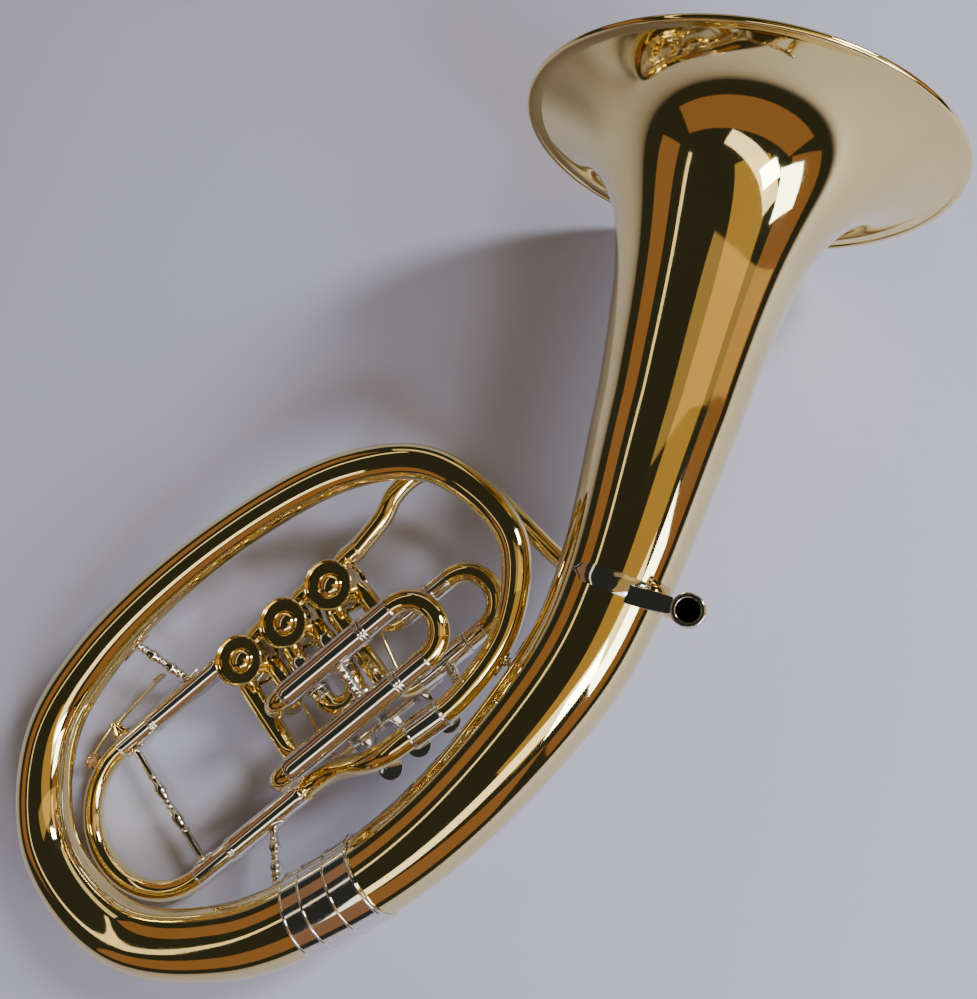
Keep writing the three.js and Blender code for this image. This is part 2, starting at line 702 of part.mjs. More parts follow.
// The stop arm sits on the stem: a hub with the crank pin on one side and the stop lobe on the other.
// It is drawn at rest, with the pin half of the rotor's turn towards the windway.
function stopArm(number) {
  const axis = valveAxis(number);
  const rest = ROTOR_TURN / 2;
  const pinAt = at(CRANK_RADIUS, 0).applyAxisAngle(Z_AXIS, rest).add(axis);
  const lobeAt = at(-stopLobeRadius, 0).applyAxisAngle(Z_AXIS, rest).add(axis);
  const span = (point) => [
    point.clone().addScaledVector(Z_AXIS, stopArmBottom),
    point.clone().addScaledVector(Z_AXIS, stopArmTop),
  ];
  const hub = rod(...span(axis), STOP_HUB_RADIUS, 12);
  const lobe = rod(...span(lobeAt), STOP_LOBE_WIDTH / 2, 8);
  const web = rod(
    axis.clone().addScaledVector(Z_AXIS, (stopArmTop + stopArmBottom) / 2),
    lobeAt.clone().addScaledVector(Z_AXIS, (stopArmTop + stopArmBottom) / 2),
    STOP_ARM_THICKNESS * 0.49,
    8,
  );
  const boss = rod(...span(pinAt), CRANK_PIN_RADIUS * 2, 10);
  const pinEnd = pinAt.clone().addScaledVector(Z_AXIS, stopArmBottom - CRANK_PIN_LENGTH);
  const pin = rod(pinEnd, pinAt.clone().addScaledVector(Z_AXIS, stopArmTop - FIT), CRANK_PIN_RADIUS, 6);
  const head = rod(
    pinEnd,
    pinEnd.clone().addScaledVector(Z_AXIS, CRANK_PIN_HEAD),
    CRANK_PIN_RADIUS + CRANK_PIN_HEAD,
    6,
  );
  const stem = rod(
    axis.clone().addScaledVector(Z_AXIS, stopArmBottom - FIT),
    axis.clone().addScaledVector(Z_AXIS, stopArmTop + FIT),
    STEM_RADIUS + FIT,
    CASING_SIDES,
  );
  return cut(joined([hub, lobe, web, boss, pin, head]), [stem]);
}

for (const number of [1, 2, 3]) {
  addPart(valveSection, `valve_casing_${number}`, casing(number), LACQUERED_BRASS);
  addPart(
    valveSection,
    `valve_cap_${number}`,
    turned(cap(), CASING_SIDES, valveAxis(number)),
    NICKEL_SILVER,
  );
  addPart(valveSection, `bearing_plate_${number}`, bearingPlate(number), NICKEL_SILVER);
  addPart(valveSection, `rotor_${number}`, rotor(number), STEEL);
  addPart(valveSection, `stop_arm_${number}`, stopArm(number), STEEL);
}

// Port tubes leave a casing on a diagonal and bend to run straight beside the valve axis

// The corners of a port tube's start: run is the way that it leaves, side the way to its offset.
function portStart(number, run, side) {
  const diagonalWay = run.clone().add(side);
  const corner = valveAxis(number).addScaledVector(diagonalWay, PORT_OFFSET);
  const inside = valveAxis(number).addScaledVector(diagonalWay, CHANNEL_RADIUS);
  return [inside, corner];
}

const LEFT = X_AXIS.clone().negate();
const DOWN = Y_AXIS.clone().negate();

// Knuckles between neighbouring casings
for (const number of [2, 3]) {
  const [leaveInside, leave] = portStart(number, X_AXIS, Y_AXIS);
  const [arriveInside, arrive] = portStart(number - 1, LEFT, Y_AXIS);
  const rings = routed([leaveInside, leave, arrive, arriveInside], PORT_BEND, TUBE_RADIUS);
  addPart(
    valveSection,
    `knuckle_${number}_${number - 1}`,
    cut(shell(rings, withRadius(rings, tubeBore)), [casingCut(number), casingCut(number - 1)]),
    LACQUERED_BRASS,
  );
}

// A sleeve that starts as a port tube: corners and bends of the small tube, then the sleeve's own run.
function sleeve({ number, corners, bends, from, end, ringWidth = SLEEVE_RING_WIDTH }) {
  const rings = routed([...corners, from], bends, TUBE_RADIUS);
  const along = rings.at(-1).along;
  const ringStart = end.clone().addScaledVector(along, -ringWidth);
  const outside = [
    ...rings,
    ringAt(from, along, SLEEVE_RADIUS),
    ringAt(ringStart, along, SLEEVE_RADIUS),
    ringAt(ringStart, along, SLEEVE_RADIUS + SLEEVE_RING),
    ringAt(end, along, SLEEVE_RADIUS + SLEEVE_RING),
  ];
  const bore = (LEG_RADIUS + FIT) / Math.cos(Math.PI / TUBE_SIDES);
  const step = from.clone().addScaledVector(along, TUBE_WALL);
  const inside = [
    ...withRadius(rings.slice(0, -1), tubeBore),
    ringAt(step, along, tubeBore),
    ringAt(step, along, bore),
    ringAt(end, along, bore),
  ];
  const whole = shell(outside, inside, { boreSides: TUBE_SIDES });
  return number ? cut(whole, [casingCut(number)]) : whole;
}

// A slide: two inner legs, ferrules and a half-round crook, in one moving tube.
function slide({ legA, legB, bendA, bendB, away, ferruleLength }) {
  const gap = bendA.distanceTo(bendB);
  const far = away.clone().multiplyScalar(gap / 2);
  const crook = routed(
    [bendA, bendA.clone().add(far), bendB.clone().add(far), bendB],
    gap / 2,
    TUBE_RADIUS,
  );
  const back = away.clone().multiplyScalar(-ferruleLength);
  const home = away.clone().negate();
  const [stopA, stopB] = [bendA, bendB].map((bend) => bend.clone().add(back));
  const outside = [
    ringAt(legA, away, LEG_RADIUS),
    ringAt(stopA, away, LEG_RADIUS),
    ringAt(stopA, away, TUBE_RADIUS + SLEEVE_RING),
    ringAt(bendA, away, TUBE_RADIUS + SLEEVE_RING),
    ...crook,
    ringAt(bendB, home, TUBE_RADIUS + SLEEVE_RING),
    ringAt(stopB, home, TUBE_RADIUS + SLEEVE_RING),
    ringAt(stopB, home, LEG_RADIUS),
    ringAt(legB, home, LEG_RADIUS),
  ];
  const inside = [
    ringAt(legA, away, LEG_RADIUS - TUBE_WALL),
    ...withRadius(crook, LEG_RADIUS - TUBE_WALL),
    ringAt(legB, home, LEG_RADIUS - TUBE_WALL),
  ];
  return shell(outside, inside);
}

// Main tuning slide: upper sleeve out of the third valve, lower sleeve to the outlet tube, crook

const upperY = PORT_OFFSET;
const lowerY = PORT_OFFSET - TUNING_LEG_GAP;
const [inletInside, inletCorner] = portStart(3, LEFT, Y_AXIS);
const inletSleeveStart = at(inletCorner.x - TUBE_RADIUS, upperY, portZ);
addPart(
  valveSection,
  "tuning_sleeve_upper",
  sleeve({
    number: 3,
    corners: [inletInside, inletCorner],
    bends: PORT_BEND,
    from: inletSleeveStart,
    end: at(-TUNING_SLEEVE_END, upperY, portZ),
  }),
  NICKEL_SILVER,
);
const outletStart = at(-OUTLET_SLEEVE_START, lowerY, portZ);
const lowerSleeveRings = [
  [outletStart.x, SLEEVE_RADIUS],
  [-TUNING_SLEEVE_END + SLEEVE_RING_WIDTH, SLEEVE_RADIUS],
  [-TUNING_SLEEVE_END + SLEEVE_RING_WIDTH, SLEEVE_RADIUS + SLEEVE_RING],
  [-TUNING_SLEEVE_END, SLEEVE_RADIUS + SLEEVE_RING],
].map(([x, radius]) => ringAt(at(x, lowerY, portZ), LEFT, radius));
addPart(
  valveSection,
  "tuning_sleeve_lower",
  shell(
    lowerSleeveRings,
    [lowerSleeveRings[0], lowerSleeveRings.at(-1)].map((ring) => ({ ...ring, radius: (LEG_RADIUS + FIT) / Math.cos(Math.PI / TUBE_SIDES) })),
    { boreSides: TUBE_SIDES },
  ),
  NICKEL_SILVER,
);
const crookA = at(-TUNING_CROOK_START, upperY, portZ);
const crookB = at(-TUNING_CROOK_START, lowerY, portZ);
const tuningCrook = slide({
  legA: at(-TUNING_LEG_END, upperY, portZ),
  legB: at(-TUNING_LEG_END, lowerY, portZ),
  bendA: crookA,
  bendB: crookB,
  away: LEFT,
  ferruleLength: TUNING_CROOK_START - TUNING_SLEEVE_END - FIT,
});
// Feet and posts of braces

// The room that a tube and its gap take up, for cuts, or the same grown by a foot's thickness.
function room(rings, extra = 0) {
  const sides = rings[0].radius > CASING_RADIUS ? BELL_SIDES : TUBE_SIDES;
  const snug = 1 / Math.cos(Math.PI / sides);
  const grown = rings.map((ring) => ({ ...ring, radius: (ring.radius + FIT + extra) * snug }));
  return shell(grown, null, { sides });
}

// A foot that hugs a tube: a pointed oval along the tube, curved over its rings. It still fills the
// tube's room, which the brace's last cut takes out.
function foot(rings, axisAt, along, way, length, width) {
  const across = new THREE.Vector3().crossVectors(way, along).normalize();
  const outline = new THREE.Shape();
  const edge = (share) => (width / 2) * (1 - share * share);
  const stops = [-1, -0.55, 0, 0.55, 1];
  stops.forEach((share, i) => outline[i ? "lineTo" : "moveTo"]((share * length) / 2, edge(share)));
  stops
    .slice(1, -1)
    .reverse()
    .forEach((share) => outline.lineTo((share * length) / 2, -edge(share)));
  const reach = rings[0].radius * 2;
  const block = new THREE.ExtrudeGeometry(outline, { depth: reach, bevelEnabled: false });
  block.applyMatrix4(new THREE.Matrix4().makeBasis(along, across, along.clone().cross(across)));
  if (along.clone().cross(across).dot(way) < 0) block.translate(...way.clone().multiplyScalar(reach).toArray());
  block.translate(axisAt.x, axisAt.y, axisAt.z);
  return geometryOf(solidOf(block).intersect(solidOf(room(rings, FOOT_FOIL))));
}

// A turned post between two points, with a double bead at its middle.
function post(from, to, beads = 1) {
  const length = from.distanceTo(to);
  const radius = POST_RADIUS;
  const bead = radius + POST_BEAD;
  const profile = [
    [0, 0],
    [bead, 0],
    [radius, POST_BEAD],
  ];
  const pitch = POST_BEAD * 2.4;
  for (let i = 0; i < beads; i++) {
    const middle = length / 2 + (i - (beads - 1) / 2) * pitch * 1.6;
    profile.push([radius, middle - pitch / 2], [bead, middle - pitch / 6], [bead, middle + pitch / 6]);
    profile.push([radius, middle + pitch / 2]);
  }
  profile.push([radius, length - POST_BEAD], [bead, length], [0, length]);
  const geometry = turned(profile, 6);
  const way = to.clone().sub(from).normalize();
  geometry.applyQuaternion(new THREE.Quaternion().setFromUnitVectors(Z_AXIS, way));
  geometry.translate(from.x, from.y, from.z);
  return geometry;
}

// A brace joins two tubes; each end names the axis point, the tube's way and its rings.
function brace(name, parent, ends, beads) {
  const way = ends[1].at.clone().sub(ends[0].at).normalize();
  const feet = ends.map((end, i) => {
    const out = i ? way.clone().negate() : way;
    const along = end.along.clone().addScaledVector(out, -end.along.dot(out)).normalize();
    return foot(end.rings, end.at, along, out, end.footLength, FOOT_WIDTH);
  });
  const seats = ends.map((end, i) => {
    const out = i ? way.clone().negate() : way;
    const slant = Math.sqrt(1 - end.along.dot(out) ** 2);
    return end.at.clone().addScaledVector(out, end.rings[0].radius / slant);
  });
  const whole = joined([...feet, post(...seats, beads)]);
  addPart(parent, name, cut(whole, ends.map((end) => room(end.rings))), NICKEL_SILVER);
}

// An end of a brace on the body tube, at a length along its centre line.
function bodyEnd(length, footLength) {
  const middle = bodyRing(placeAt(length));
  const rings = bodySpan(length - footLength / 2, length + footLength / 2);
  return { at: middle.at, along: middle.along, rings, footLength };
}

// The same end seen from the valve section.
const seenFromValves = (end) => ({
  at: inValves(end.at),
  along: turnedToValves(end.along),
  rings: end.rings.map((ring) => ringAt(inValves(ring.at), turnedToValves(ring.along), ring.radius)),
  footLength: end.footLength,
});

// An end of a brace on a straight tube along the valve row.
const tubeEnd = (x, y, z, radius) => ({
  at: at(x, y, z),
  along: X_AXIS,
  rings: [-SMALL_FOOT_LENGTH, SMALL_FOOT_LENGTH].map((reach) => ringAt(at(x + reach, y, z), X_AXIS, radius)),
  footLength: SMALL_FOOT_LENGTH,
});

// Crook of the main tuning slide with the water key's nipple, and the post between its legs
const crookMiddle = at(-TUNING_CROOK_START, (upperY + lowerY) / 2, portZ);
const crookReach = TUNING_LEG_GAP / 2;
const padWay = X_AXIS.clone().applyAxisAngle(Z_AXIS, KEY_PAD_ANGLE);
const nippleFoot = crookMiddle.clone().addScaledVector(padWay, crookReach + tubeBore);
const nippleTop = crookMiddle.clone().addScaledVector(padWay, crookReach + TUBE_RADIUS + NIPPLE_HEIGHT);
addPart(
  valveSection,
  "tuning_crook",
  joined([tuningCrook, rod(nippleFoot, nippleTop, NIPPLE_RADIUS, 8)]),
  LACQUERED_BRASS,
);
const crookBraceX = -CROOK_BRACE_PLACE;
brace(
  "crook_brace",
  valveSection,
  [lowerY, upperY].map((y) => tubeEnd(crookBraceX, y, portZ, TUBE_RADIUS + SLEEVE_RING)),
  3,
);

// Outlet tube: from the lower tuning sleeve up to the body tube, inside the small ferrule
const bodyStart = bodyRing(0);
const outletTo = inValves(bodyStart.at);
const outletCurve = new THREE.CubicBezierCurve3(
  outletStart.clone().addScaledVector(X_AXIS, SLEEVE_RING_WIDTH),
  outletStart.clone().addScaledVector(X_AXIS, SLEEVE_RING_WIDTH + OUTLET_EASE),
  outletTo.clone().addScaledVector(turnedToValves(bodyStart.along), -OUTLET_EASE),
  outletTo,
);
const outletRings = [];
for (let k = 0; k <= 7; k++) {
  const t = k / 7;
  const radius = THREE.MathUtils.lerp(TUBE_RADIUS, bodyStart.radius, t);
  outletRings.push(ringAt(outletCurve.getPoint(t), outletCurve.getTangent(t), radius));
}
const outletTail = bodyRings(0, branchJoint - FIT / 2).slice(1);
outletTail.forEach((ring) => outletRings.push(ringAt(inValves(ring.at), turnedToValves(ring.along), ring.radius)));
const collar = SLEEVE_RADIUS + SLEEVE_RING;
const outletEdge = outletStart.clone().addScaledVector(X_AXIS, FIT);
addPart(
  valveSection,
  "outlet_tube",
  shell(
    [ringAt(outletEdge, X_AXIS, collar), ringAt(outletRings[0].at, X_AXIS, collar), ...outletRings],
    [ringAt(outletEdge, X_AXIS, tubeBore), ...outletRings].map((ring) => ({
      ...ring,
      radius: Math.max(ring.radius - TUBE_WALL, tubeBore),
    })),
  ),
  LACQUERED_BRASS,
);

// First slide: near sleeve from the valve's right port, far sleeve from its left port
const first = valveAxis(1).x;
const [firstNearInside, firstNearCorner] = portStart(1, DOWN, X_AXIS);
const [firstFarInside, firstFarCorner] = portStart(1, DOWN, LEFT);
const firstNear = at(first + PORT_OFFSET, -FIRST_SLIDE_NEAR, portZ);
const firstFar = at(first - PORT_OFFSET, -FIRST_SLIDE_FAR, portZ);
addPart(
  valveSection,
  "first_sleeve_near",
  sleeve({
    number: 1,
    corners: [firstNearInside, firstNearCorner, firstNear],
    bends: [PORT_BEND, ELBOW_RADIUS],
    from: firstNear.clone().addScaledVector(X_AXIS, ELBOW_RADIUS + TUBE_WALL),
    end: at(FIRST_SLEEVE_END, firstNear.y, portZ),
  }),
  LACQUERED_BRASS,
);
addPart(
  valveSection,
  "first_sleeve_far",
  sleeve({
    number: 1,
    corners: [firstFarInside, firstFarCorner, firstFar],
    bends: [PORT_BEND, WIDE_BEND_RADIUS],
    from: firstFar.clone().addScaledVector(X_AXIS, WIDE_BEND_RADIUS + TUBE_WALL),
    end: at(FIRST_SLEEVE_END, firstFar.y, portZ),
  }),
  LACQUERED_BRASS,
);
addPart(
  valveSection,
  "first_slide",
  slide({
    legA: at(FIRST_LEG_END, firstNear.y, portZ),
    legB: at(FIRST_LEG_END, firstFar.y, portZ),
    bendA: at(FIRST_SLIDE_BEND, firstNear.y, portZ),
    bendB: at(FIRST_SLIDE_BEND, firstFar.y, portZ),
    away: X_AXIS,
    ferruleLength: FIRST_SLIDE_BEND - FIRST_SLEEVE_END - FIT,
  }),
  NICKEL_SILVER,
);

// Second slide: straight out beside the middle valve
for (const [name, side] of [
  ["second_sleeve_left", LEFT],
  ["second_sleeve_right", X_AXIS],
]) {
  const [inside, corner] = portStart(2, DOWN, side);
  addPart(
    valveSection,
    name,
    sleeve({
      number: 2,
      corners: [inside, corner],
      bends: PORT_BEND,
      from: at(corner.x, -SECOND_SLEEVE_START, portZ),
      end: at(corner.x, -SECOND_SLEEVE_END, portZ),
    }),
    LACQUERED_BRASS,
  );
}
addPart(
  valveSection,
  "second_slide",
  slide({
    legA: at(PORT_OFFSET, -SECOND_LEG_END, portZ),
    legB: at(-PORT_OFFSET, -SECOND_LEG_END, portZ),
    bendA: at(PORT_OFFSET, -SECOND_SLIDE_BEND, portZ),
    bendB: at(-PORT_OFFSET, -SECOND_SLIDE_BEND, portZ),
    away: DOWN,
    ferruleLength: SECOND_SLIDE_BEND - SECOND_SLEEVE_END - FIT,
  }),
  LACQUERED_BRASS,
);

// Third slide: both tubes rise in front of the body and turn towards the bell
const thirdZ = portZ + THIRD_SLIDE_RISE;
const third = valveAxis(3).x;
const thirdTubes = [
  ["third_sleeve_near", X_AXIS, THIRD_SLIDE_NEAR, RISER_BEND_RADIUS],
  ["third_sleeve_far", LEFT, THIRD_SLIDE_FAR, RISER_BEND_RADIUS * 1.35],
];
for (const [name, side, distance, bend] of thirdTubes) {
  const [inside, corner] = portStart(3, DOWN, side);
  const foot3 = at(corner.x, -distance, portZ);
  const head = at(corner.x, -distance, thirdZ);
  addPart(
    valveSection,
    name,
    sleeve({
      number: 3,
      corners: [inside, corner, foot3, head],
      bends: [PORT_BEND, bend, ELBOW_RADIUS],
      from: head.clone().addScaledVector(X_AXIS, ELBOW_RADIUS + TUBE_WALL),
      end: at(THIRD_SLEEVE_END, -distance, thirdZ),
    }),
    LACQUERED_BRASS,
  );
}
addPart(
  valveSection,
  "third_slide",
  slide({
    legA: at(THIRD_LEG_END, -THIRD_SLIDE_NEAR, thirdZ),
    legB: at(THIRD_LEG_END, -THIRD_SLIDE_FAR, thirdZ),
    bendA: at(THIRD_SLIDE_BEND, -THIRD_SLIDE_NEAR, thirdZ),
    bendB: at(THIRD_SLIDE_BEND, -THIRD_SLIDE_FAR, thirdZ),
    away: X_AXIS,
    ferruleLength: THIRD_SLIDE_BEND - THIRD_SLEEVE_END - FIT,
  }),
  NICKEL_SILVER,
);

// Receiver and leadpipe
const receiverAt = at(leadpipeShares[0][0] * BODY_LENGTH, leadpipeShares[0][1] * BODY_LENGTH);
const receiverBottom = RECEIVER_TOP - RECEIVER_LENGTH;
const receiverSocket = RECEIVER_MOUTH_LENGTH + FIT;
const receiver = turned(
  [
    [LEADPIPE_RADIUS - TUBE_WALL, receiverBottom + receiverSocket],
    [LEADPIPE_RADIUS + FIT, receiverBottom + receiverSocket],
    [LEADPIPE_RADIUS + FIT, receiverBottom],
    [RECEIVER_RADIUS - TUBE_WALL, receiverBottom],
    [RECEIVER_RADIUS, receiverBottom + RECEIVER_MOUTH_LENGTH],
    [RECEIVER_RADIUS, RECEIVER_TOP - RECEIVER_MOUTH_LENGTH],
    [RECEIVER_MOUTH_RADIUS, RECEIVER_TOP - RECEIVER_MOUTH_LENGTH],
    [RECEIVER_MOUTH_RADIUS, RECEIVER_TOP - TUBE_WALL],
    [RECEIVER_MOUTH_RADIUS - TUBE_WALL, RECEIVER_TOP],
    [RECEIVER_BORE, RECEIVER_TOP],
    [LEADPIPE_RADIUS - TUBE_WALL, receiverBottom + receiverSocket],
  ],
  RECEIVER_SIDES,
  receiverAt,
);
addPart(horn, "receiver", receiver, NICKEL_SILVER);

const leadpipeEnd = at(first + LEADPIPE_STRAIGHT, PORT_OFFSET, portZ);
const leadpipePlaces = [
  receiverAt.clone().setZ(receiverBottom + RECEIVER_MOUTH_LENGTH),
  receiverAt.clone().setZ(receiverBottom),
  ...leadpipeShares.slice(1).map((shares) => at(...shares.map((share) => share * BODY_LENGTH))),
  inBody(leadpipeEnd),
];
const leadpipeCurve = new THREE.CatmullRomCurve3(leadpipePlaces, false, "centripetal");
const leadpipeRings = [];
const leadpipeCount = (leadpipePlaces.length - 1) * LEADPIPE_STEPS;
for (let k = 0; k <= leadpipeCount; k++) {
  const t = k / leadpipeCount;
  const along = k === 0 ? Z_AXIS.clone().negate() : leadpipeCurve.getTangent(t);
  const radius = THREE.MathUtils.lerp(LEADPIPE_RADIUS, TUBE_RADIUS, t);
  leadpipeRings.push(ringAt(leadpipeCurve.getPoint(t), along, radius));
}
const [leadInside, leadCorner] = portStart(1, X_AXIS, Y_AXIS);
const entry = routed([leadpipeEnd, leadCorner, leadInside], PORT_BEND, TUBE_RADIUS).map((ring) =>
  ringAt(inBody(ring.at), turnedToBody(ring.along), ring.radius),
);
leadpipeRings[leadpipeCount].along.copy(entry[0].along);
const leadOutside = [
  ...leadpipeRings.slice(0, -1),
  leadpipeRings[leadpipeCount],
  ringAt(entry[0].at, entry[0].along, TUBE_RADIUS + SLEEVE_RING),
  ringAt(entry[0].at.clone().addScaledVector(entry[0].along, SLEEVE_RING_WIDTH), entry[0].along, TUBE_RADIUS + SLEEVE_RING),
  ringAt(entry[0].at.clone().addScaledVector(entry[0].along, SLEEVE_RING_WIDTH), entry[0].along, TUBE_RADIUS),
  ...entry.slice(1),
];
const leadCut = casingCut(1);
leadCut.applyMatrix4(valveSection.matrix);
addPart(
  horn,
  "leadpipe",
  cut(
    shell(
      leadOutside,
      [...leadpipeRings, ...entry.slice(1)].map((ring) => ({ ...ring, radius: ring.radius - TUBE_WALL })),
      { up: X_AXIS },
    ),
    [leadCut],
  ),
  LACQUERED_BRASS,
);

// Saddle: a plate on the bell stem with an arm to the receiver
const saddleOutline = new THREE.Shape(
  saddleShares.map(([across, along]) => new THREE.Vector2(across * BODY_LENGTH, along * BODY_LENGTH)),
);
const saddleBlock = new THREE.ExtrudeGeometry(saddleOutline, { depth: BELL_DIAMETER, bevelEnabled: false });
const tailRings = bodySpan(bodyCurveLength - SADDLE_REACH, bodyCurveLength);
const armZ = RECEIVER_TOP - (RECEIVER_MOUTH_LENGTH * 2) / 3;
const armFrom = at(SADDLE_ARM_FROM, receiverAt.y, armZ);
const armTo = receiverAt.clone().setZ(armZ);
const receiverRoom = rod(
  receiverAt.clone().setZ(armZ - RECEIVER_LENGTH),
  receiverAt.clone().setZ(armZ + RECEIVER_LENGTH),
  (RECEIVER_MOUTH_RADIUS + FIT) / Math.cos(Math.PI / RECEIVER_SIDES),
  RECEIVER_SIDES,
);
const saddlePlate = geometryOf(solidOf(saddleBlock).intersect(solidOf(room(tailRings, FOOT_FOIL))));
addPart(
  horn,
  "receiver_saddle",
  cut(
    joined([saddlePlate, bar(armFrom, armTo, Y_AXIS, SADDLE_ARM_WIDTH, SADDLE_ARM_THICKNESS)]),
    [room(tailRings), receiverRoom],
  ),
  NICKEL_SILVER,
);

// Braces between the tubes

brace("bow_brace", valveSection, [
  tubeEnd(-BOW_BRACE_PLACE, lowerY, portZ, SLEEVE_RADIUS),
  seenFromValves(bodyEnd(BOW_BRACE_LENGTH, FOOT_LENGTH)),
]);
brace(
  "branch_brace",
  valveSection,
  [
    tubeEnd(-BRANCH_BRACE_PLACE, upperY, portZ, SLEEVE_RADIUS),
    seenFromValves(bodyEnd(BRANCH_BRACE_LENGTH, FOOT_LENGTH)),
  ],
  2,
);
brace("first_brace", valveSection, [
  tubeEnd(FIRST_BRACE_PLACE, firstFar.y, portZ, SLEEVE_RADIUS),
  seenFromValves(bodyEnd(FIRST_BRACE_LENGTH, SMALL_FOOT_LENGTH)),
]);
brace(
  "third_brace",
  valveSection,
  [-THIRD_SLIDE_NEAR, -THIRD_SLIDE_FAR].map((y) => tubeEnd(THIRD_BRACE_PLACE, y, thirdZ, SLEEVE_RADIUS)),
  2,
);
brace("bell_brace", horn, [
  bodyEnd(BELL_BRACE_LENGTH, SMALL_FOOT_LENGTH),
  bodyEnd(BELL_BRACE_BELL_LENGTH, SMALL_FOOT_LENGTH),
]);

// Hinge rod, brackets and levers

const rodY = -ROD_FROM_ROW;
const rodZ = portZ - ROD_BELOW_PORTS;
addPart(
  valveSection,
  "hinge_rod",
  rod(at(-ROD_LEFT, rodY, rodZ), at(ROD_RIGHT, rodY, rodZ), ROD_RADIUS),
  STEEL,
);

// A flat bar between two points, wide along the given direction.
function bar(from, to, wide, width, thickness) {
  const along = to.clone().sub(from).normalize();
  const flat = new THREE.Vector3().crossVectors(along, wide).normalize();
  const geometry = new THREE.BoxGeometry(from.distanceTo(to), width, thickness);
  geometry.applyMatrix4(new THREE.Matrix4().makeBasis(along, flat.clone().cross(along), flat));
  const middle = from.clone().lerp(to, 0.5);
  geometry.translate(middle.x, middle.y, middle.z);
  return geometry;
}

// A short tube round an axis along X.
function barrel(from, to, y, z, radius, hole, sides = TUBE_SIDES) {
  const rings = [from, to].map((x) => ringAt(at(x, y, z), X_AXIS, radius));
  const bore = (hole + FIT) / Math.cos(Math.PI / sides);
  return shell(rings, withRadius(rings, bore), { sides, boreSides: sides });
}

function bracket(name, x, tube) {
  const axis = at(x, rodY, rodZ);
  const way = axis.clone().sub(tube.at);
  way.setX(0).normalize();
  const along = tube.along.clone().addScaledVector(way, -tube.along.dot(way)).normalize();
  const seat = tube.at.clone().addScaledVector(way, tube.radius);
  const back = way.clone().negate();
  const touch = axis.clone().addScaledVector(back, (BARREL_RADIUS + ROD_RADIUS) / 2 + FIT);
  const half = BRACKET_EYE_WIDTH / 2;
  const whole = joined([
    barrel(x - half, x + half, rodY, rodZ, BARREL_RADIUS, ROD_RADIUS),
    bar(seat, touch, X_AXIS, BRACKET_EYE_WIDTH * 0.75, BRACKET_EYE_WIDTH * 0.6),
    foot(tube.rings, tube.at, along, way, BRACKET_FOOT_LENGTH, FOOT_WIDTH),
  ]);
  addPart(valveSection, name, cut(whole, [room(tube.rings)]), NICKEL_SILVER);
}

// The outlet tube beside a place along the row.
function outletEnd(x) {
  const next = outletRings.findIndex((ring) => ring.at.x > x);
  const [before, after] = [outletRings[next - 1], outletRings[next]];
  const share = (x - before.at.x) / (after.at.x - before.at.x);
  return {
    at: before.at.clone().lerp(after.at, share),
    along: before.along.clone().lerp(after.along, share).normalize(),
    radius: THREE.MathUtils.lerp(before.radius, after.radius, share),
    rings: outletRings,
  };
}
bracket("rod_bracket_left", -BRACKET_LEFT, outletEnd(-BRACKET_LEFT));
bracket("rod_bracket_middle", 0, outletEnd(0));
bracket("rod_bracket_right", BRACKET_RIGHT, {
  at: at(BRACKET_RIGHT, firstFar.y, portZ),
  along: X_AXIS,
  radius: SLEEVE_RADIUS,
  rings: tubeEnd(BRACKET_RIGHT, firstFar.y, portZ, SLEEVE_RADIUS).rings,
});

// Half of the lever's swing brings the link as far as half of the rotor's turn.
const leverHalfSwing = Math.asin((CRANK_RADIUS * Math.sin(ROTOR_TURN / 2)) / LEVER_CRANK);
const crankTip = at(0, LEVER_CRANK * Math.sin(leverHalfSwing), -LEVER_CRANK * Math.cos(leverHalfSwing));
const springRadius = BARREL_RADIUS + FIT + SPRING_WIRE_RADIUS;
const strapLift = springRadius - SPRING_WIRE_RADIUS - FIT - LEVER_STRAP_THICKNESS / 2;
const pinReach = CRANK_STRAP_WIDTH / 2 + LINK_EYE_THICKNESS + FIT * 2;

function lever({ from, to, pad, crank }) {
  const axis = at(0, rodY, rodZ);
  const padAt = at(pad, -LEVER_PAD_FROM_ROW, rodZ - LEVER_PAD_DROP);
  const strapRoot = at(pad, rodY, rodZ + strapLift);
  const tip = crankTip.clone().add(axis).setX(crank);
  const crankRoot = axis.clone().setX(crank).lerp(tip, (BARREL_RADIUS + ROD_RADIUS) / 2 / LEVER_CRANK);
  const edge = LEVER_PAD_THICKNESS / 2;
  const padProfile = [
    [0, -edge],
    [LEVER_PAD_RADIUS - edge, -edge],
    [LEVER_PAD_RADIUS, 0],
    [LEVER_PAD_RADIUS - edge, edge],
    [0, edge],
  ];
  const boss = CRANK_STRAP_WIDTH / 2;
  const pinEnd = tip.clone().addScaledVector(X_AXIS, pinReach);
  const pieces = [
    barrel(from, to, rodY, rodZ, BARREL_RADIUS, ROD_RADIUS),
    bar(strapRoot, padAt, X_AXIS, LEVER_STRAP_WIDTH, LEVER_STRAP_THICKNESS),
    turned(padProfile, 12, padAt),
    bar(crankRoot, tip, X_AXIS, CRANK_STRAP_WIDTH, LINK_EYE_RADIUS * 1.6),
    rod(
      tip.clone().addScaledVector(X_AXIS, -boss),
      tip.clone().addScaledVector(X_AXIS, boss),
      LINK_EYE_RADIUS,
      8,
    ),
    rod(tip, pinEnd, LINK_PIN_RADIUS, 8),
    rod(pinEnd, pinEnd.clone().addScaledVector(X_AXIS, CRANK_PIN_HEAD), LINK_PIN_RADIUS * 2, 8),
  ];
  const hollow = rod(at(from - FIT, rodY, rodZ), at(to + FIT, rodY, rodZ), (ROD_RADIUS + FIT) / Math.cos(Math.PI / TUBE_SIDES));
  return cut(joined(pieces), [hollow]);
}

